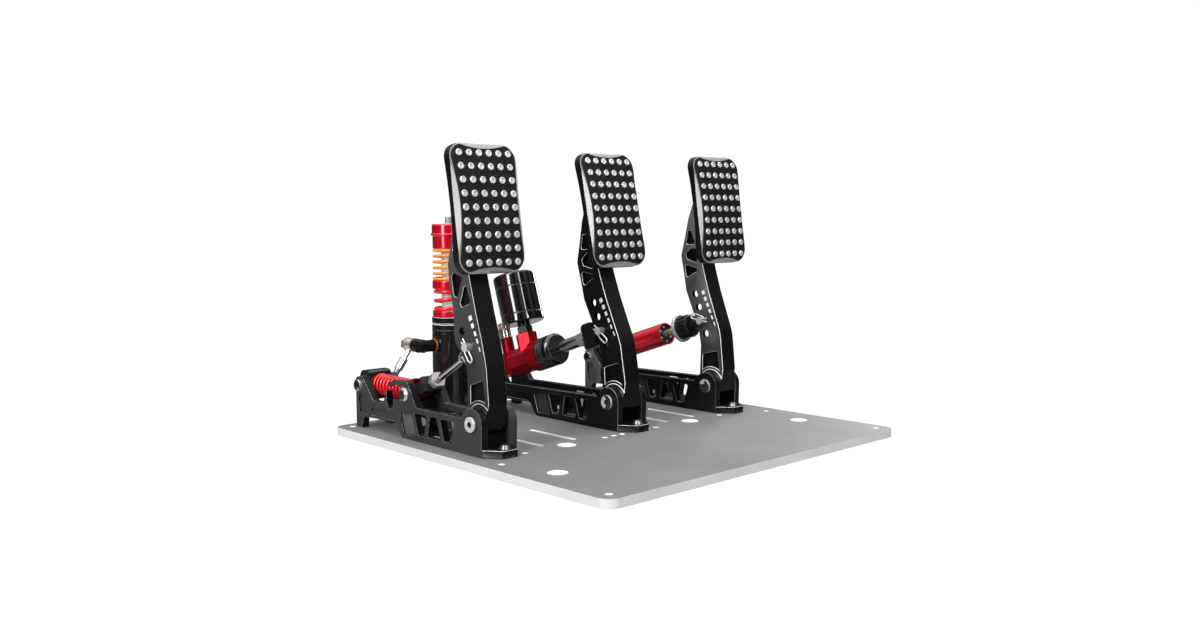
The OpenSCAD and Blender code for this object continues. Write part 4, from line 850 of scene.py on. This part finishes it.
# Linkage pins with their round-wire clips. A clip's outline is (forward, up) from its pin, in the plane
# of the arm's left face: a straight leg, the loop at its end, and a leg that bends round the pin's head
PIN_AT = {"clutch": (14, 66.5), "brake": (13.43, 69.6), "throttle": (13.43, 69.6)}
CLIP_TURN = {"clutch": 52, "brake": 38, "throttle": 186}
CLIP_R = 0.72
CLIP_OFF = 3  # from the arm's face to the wire's middle
WIRE_OFF = 2  # faces further than this from the arm's face are the wire's
CAD_CLIP_W = 10  # the CAD model's flat clip is narrower than this, and its pin wider
CLIP = [(-9, 0), (-4, 0), (0, 0), (5, 0), (10, 0)]
CLIP += [(11 + 2.8 * math.sin(a), -2.8 + 2.8 * math.cos(a)) for a in (math.pi * k / 10 for k in range(11))]
CLIP += [(8, -5.65), (5, -5.6), (3, -5.3)]
CLIP += [(5 * math.sin(a), -5 * math.cos(a)) for a in map(math.radians, (15, 0, -15, -30, -42))]
CLIP += [(-4.6, -3.15), (-6.2, -3.3), (-8, -4.2)]

for pedal in PEDALS:
    node = pedal + "_pin"
    bm = welded(node, FLAT_DEGREES)
    for part in loose_parts(bm):
        if x_span(part) < CAD_CLIP_W * MM:
            bmesh.ops.delete(bm, geom=part, context="VERTS")
    bm.normal_update()
    chamfer(bm, [e for e in bm.edges if crisp(e)], offset=0.5, segments=2, index=-1)
    place = arm_frame(pedal) @ slide((-ARM_W / 2 - CLIP_OFF, *PIN_AT[pedal])) @ turn(CLIP_TURN[pedal], "X")
    path = catmull([place @ (Vector((0, -u, v)) * MM) for u, v in CLIP], steps=5)
    tube(bm, path, lambda k, a: CLIP_R * MM, sides=12)
    wire_from = (module_x(pedal) - ARM_W / 2 - WIRE_OFF) * MM
    for face in bm.faces:
        face.material_index = 0 if face.calc_center_median().x > wire_from else 1
    materials = [MATS["zinc_steel"], MATS["bright_alloy"]]
    flat_first(add_piece(node + "_dressed", bm, materials, body_of[node], (node,), sharp=45))

# Everything that is only broken at its edges
for node, soft_width in (
    ("clutch_pushrod", 0.25), ("clutch_fork", 0.4), ("clutch_nut", 0.35), ("spring_seat", 0.4),
    ("spring_cup", 0.4), ("brake_pushrod", 0.3), ("brake_rod_end", 0.45), ("master_cylinder", 0.35),
    ("reservoir", 0.7), ("reservoir_neck", 0.3), ("master_union", 0.3), ("slave_cylinder", 0.5),
    ("centre_post", 0.4), ("top_cap", 0.5), ("middle_ring", 0.4), ("slave_piston", 0.4), ("slave_elbow", 0.5),
    ("slave_union", 0.3), ("sealing_washers", 0.2), ("damper_tube", 0.4), ("damper_ends", 0.5),
    ("damper_rod", 0.3), ("adjuster_knob", 0.3), ("throttle_rod_end", 0.4),
):
    dressed(node, soft_width=soft_width)
for node, edge in (("slave_collar", EDGE), ("master_end_cap", DIM_EDGE)):
    dressed(node, lambda e: True, bright_width=0.25, soft_width=0, edge=edge)

# Springs, wound from round wire with closed ends
COIL_STEPS = 40  # rings in a turn
DEAD_TURNS = 0.55  # at either end, where the wire doesn't climb
END_LIFT = 1.06  # the end turns' middle, in radii of the wire above the seat


def coil(node, place, r, wire, length, turns, anchor_mm):
    """A spring along the place's Z. anchor_mm is not used."""
    path = []
    lift = wire * END_LIFT
    for k in range(int(turns * COIL_STEPS) + 1):
        t = k / COIL_STEPS
        climb = min(max((t - DEAD_TURNS) / (turns - 2 * DEAD_TURNS), 0), 1)
        z = lift + (length - 2 * lift) * climb
        a = 2 * math.pi * t
        path.append(place @ (Vector((r * math.cos(a), r * math.sin(a), z)) * MM))
    bm = bmesh.new()
    tube(bm, path, lambda k, a: wire * MM, sides=14)
    slot = slot_of[node]
    obj = add_piece(node + "_wound", bm, [MATS[slot]], body_of[node], (node,), sharp=60)
    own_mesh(obj)


slot_z = 42.5 + PLATE_T  # the slotted rails' slot
coil("clutch_spring", slide((module_x("clutch"), 108.9, slot_z)) @ turn(-90, "X"),
     r=9.2, wire=1.4, length=75.1, turns=14,
     anchor_mm=(module_x("clutch"), 184, slot_z))
coil("soft_spring", SLAVE_FOOT @ slide((0, 0, 143.5)),
     r=15.6, wire=1.45, length=33.0, turns=6,
     anchor_mm=(SLAVE_X, SLAVE_Y, 176.5 + PLATE_T))
coil("firm_spring", SLAVE_FOOT @ slide((0, 0, 111.3)),
     r=14.2, wire=2.05, length=22.8, turns=3,
     anchor_mm=(SLAVE_X, SLAVE_Y, 134.1 + PLATE_T))

# Hose with a braided cover: strands wind both ways round it
STRANDS = 8
STRAND_TURN = 2.2  # radians of a strand's wave for each mm of hose
STRAND_H = 0.1
path = catmull([Vector((x, y, z + PLATE_T)) * MM for x, y, z in HOSE_ROUTE], steps=26)
runs = [0.0]
for a, b in zip(path, path[1:]):
    runs.append(runs[-1] + (b - a).length / MM)


def braid(k, a):
    wave, shift = STRANDS * a, STRAND_TURN * runs[k]
    return (HOSE_R + STRAND_H * max(math.sin(wave + shift), math.sin(wave - shift))) * MM


bm = bmesh.new()
tube(bm, path, braid, sides=32)
hose = add_piece("brake_hose_braided", bm, [MATS["hose_cover"]], "base", ("brake_hose",),
                 sharp=60)

# Travel scales: engraved marks beside the arms' front edges, on the left faces, narrower towards the pin.
# Each is (y, z) from the pivot
LONG_SCALE = ((12.3, 99.9), (9.1, 93.3), (5.9, 86.7), (2.7, 80.3), (-0.5, 73.7), (-3.9, 67.0))
SCALE = {
    "clutch": ((12.3, 92.5), (9.2, 85.9), (5.5, 79.2), (2.5, 72.9), (-0.7, 66.0)),
    "brake": LONG_SCALE,
    "throttle": LONG_SCALE,
}
MARK_H, MARK_W, MARK_TAPER = 4.2, 4.5, 3.3
MARK_LEAN = -25
MARK_OFF = 0.06  # from the arm's face to the mark's frame
MARK_LOW, MARK_TOP = -0.1, 0.12

for pedal in PEDALS:
    bm = bmesh.new()
    spots = SCALE[pedal]
    for k, (y, z) in enumerate(spots):
        w, h = (MARK_W - MARK_TAPER * k / (len(spots) - 1)) / 2, MARK_H / 2
        on_arm = arm_frame(pedal) @ slide((-ARM_W / 2 - MARK_OFF, y, z))
        outline = [(-h, -w), (h, -w), (h, w), (-h, w)]
        prism(bm, outline, MARK_LOW, MARK_TOP, on_arm @ turn(MARK_LEAN, "X") @ turn(-90, "Y"))
    add_piece(pedal + "_scale", bm, [MARK], pedal + "_pedal", sharp=20)

# Lock ring of the adjuster: a knurled band
BAND = [
    (14.2, 135.2), (15.1, 135.2), (15.4, 135.6), (15.4, 138.4), (15.1, 138.9), (14.2, 138.9), (14.2, 135.2),
]
BAND_R, KNURL = 14.5, 0.22
bm = bmesh.new()
lathe(bm, BAND, DAMPER_STRUT, sides=144, radius=lambda r, k: r - KNURL if r > BAND_R and k % 2 else r)
add_piece("lock_ring_knurl", bm, [MATS["bright_alloy"]], body_of["damper_rod"], sharp=20)

# Screws of the damper's front plate and of the reservoir's cap
HEAD_SUNK = 0.3
HEAD_ROUNDING = ((1, 0.5), (0.93, 0.82), (0.75, 1))  # shares of a head's radius and height
SOCKET_UNDER, SOCKET_OVER = 0.02, 0.03  # the dark hexagon's faces, below and above the head's top


def screw_ring(name, frame_at, r, z, angles, head_r, head_h, socket_r):
    """Screws on a circle of radius r at this z, at these angles in degrees."""
    bm = bmesh.new()
    head = [(0, -HEAD_SUNK), (head_r, -HEAD_SUNK)]
    head += [(head_r * a, head_h * b) for a, b in HEAD_ROUNDING] + [(0, head_h)]
    for a in map(math.radians, angles):
        place = frame_at @ slide((r * math.cos(a), r * math.sin(a), z))
        lathe(bm, head, place, sides=28)
        prism(bm, circle(socket_r, 6), head_h - SOCKET_UNDER, head_h + SOCKET_OVER, place, index=1)
    add_piece(name, bm, [MATS["bright_alloy"], SOCKET], "base", sharp=35)


RESERVOIR = BRAKE_STRUT @ slide((0, 39, 45.5)) @ turn(-90, "X")  # its foot, with Z along it
RESERVOIR_H = 55
DAMPER_PLATE_Z = 111.2
screw_ring("damper_plate_screws", DAMPER_STRUT, r=8.2, z=DAMPER_PLATE_Z, angles=range(30, 390, 60),
           head_r=1.3, head_h=0.7, socket_r=0.6)
screw_ring("reservoir_screws", RESERVOIR, r=17.5, z=RESERVOIR_H, angles=(-55, 125),
           head_r=2.2, head_h=1.0, socket_r=1.0)

# Thread on the slave cylinder's top stud
THREAD_PITCH, THREAD_TURNS = 0.72, 10
THREAD_CORE, ROOT_R, CREST_R = 3.0, 3.55, 4.0
THREAD_FROM, THREAD_TO, THREAD_LEAD = 202.4, 209.8, 0.1
profile = [(THREAD_CORE, THREAD_FROM)]
for k in range(THREAD_TURNS):
    z = THREAD_FROM + THREAD_LEAD + THREAD_PITCH * k
    profile += [(ROOT_R, z), (CREST_R, z + THREAD_PITCH / 2)]
profile += [(ROOT_R, THREAD_TO - THREAD_LEAD), (THREAD_CORE, THREAD_TO)]
bm = bmesh.new()
lathe(bm, profile + [profile[0]], SLAVE_FOOT, sides=40)
add_piece("stud_thread", bm, [DARK_STEEL], "base", sharp=35)

# Studio. The camera sees a white floor and world, and the object reflects a grey one: brightness at heights
# from straight down (0) to straight up (1). Lights are name, place, target, width, height and watts
SKY = ((0, 1.0), (0.38, 0.45), (0.47, 0.03), (0.6, 0.03), (0.72, 0.4), (0.8, 1.0), (0.9, 0.6), (1, 0.55))
SKY_STRENGTH = 0.8
SEEN_STRENGTH = 1.05
FLOOR_W, FLOOR_Z = 60, -0.0002  # metres
LIGHTS = (
    ("key", (-1.5, -0.2, 0.9), (0, 0.05, 0.1), 0.35, 1.8, 32),
    ("front", (-0.35, -1.7, 0.9), (0, 0.05, 0.12), 0.3, 1.4, 20),
    ("top", (0.1, 0.2, 2.0), (0, 0, 0), 2.2, 2.2, 32),
    ("rim", (1.5, 0.6, 0.8), (0, 0.05, 0.1), 0.3, 1.4, 14),
)


def add_light(name, at, target, width, height, watts):
    light = bpy.data.lights.new(name, "AREA")
    light.shape = "RECTANGLE"
    light.size = width
    light.size_y = height
    light.energy = watts
    obj = bpy.data.objects.new(name, light)
    obj.location = at
    obj.rotation_euler = (Vector(target) - Vector(at)).to_track_quat("-Z", "Y").to_euler()
    bpy.context.scene.collection.objects.link(obj)


def add_floor():
    bpy.ops.mesh.primitive_plane_add(size=FLOOR_W, location=(0, 0, FLOOR_Z))
    floor = bpy.context.object
    floor.name = "floor"
    m = Maker("floor")
    m.set(Roughness=0.8, Specular_IOR_Level=0.0, Emission_Strength=1.0)
    m.set(Base_Color=(0.05, 0.05, 0.05, 1), Emission_Color=(1, 1, 1, 1))
    floor.data.materials.append(m.mat)
    floor.visible_diffuse = False
    floor.visible_glossy = False
    floor.visible_shadow = False


def add_world():
    world = bpy.data.worlds.new("studio")
    world.use_nodes = True
    nodes, link = world.node_tree.nodes, world.node_tree.links.new
    seen = nodes["Background"]
    seen.inputs["Color"].default_value = (1, 1, 1, 1)
    seen.inputs["Strength"].default_value = SEEN_STRENGTH
    around = nodes.new("ShaderNodeTexCoord")
    split = nodes.new("ShaderNodeSeparateXYZ")
    ramp = nodes.new("ShaderNodeValToRGB")
    height = nodes.new("ShaderNodeMapRange")
    height.inputs["From Min"].default_value = -1.0
    link(around.outputs["Generated"], split.inputs[0])
    link(split.outputs["Z"], height.inputs["Value"])
    link(height.outputs["Result"], ramp.inputs["Fac"])
    stops = ramp.color_ramp.elements
    for at, _ in SKY[1:-1]:
        stops.new(at)
    for stop, (_, value) in zip(stops, SKY):
        stop.color = (value, value, value, 1)
    sky = nodes.new("ShaderNodeBackground")
    link(ramp.outputs["Color"], sky.inputs["Color"])
    sky.inputs["Strength"].default_value = SKY_STRENGTH
    ray = nodes.new("ShaderNodeLightPath")
    mix = nodes.new("ShaderNodeMixShader")
    link(ray.outputs["Is Camera Ray"], mix.inputs[0])
    link(sky.outputs[0], mix.inputs[1])
    link(seen.outputs[0], mix.inputs[2])
    link(mix.outputs[0], nodes["World Output"].inputs["Surface"])
    bpy.context.scene.world = world


add_floor()
add_world()
for light in LIGHTS:
    add_light(*light)
bpy.context.scene.view_settings.view_transform = "Standard"
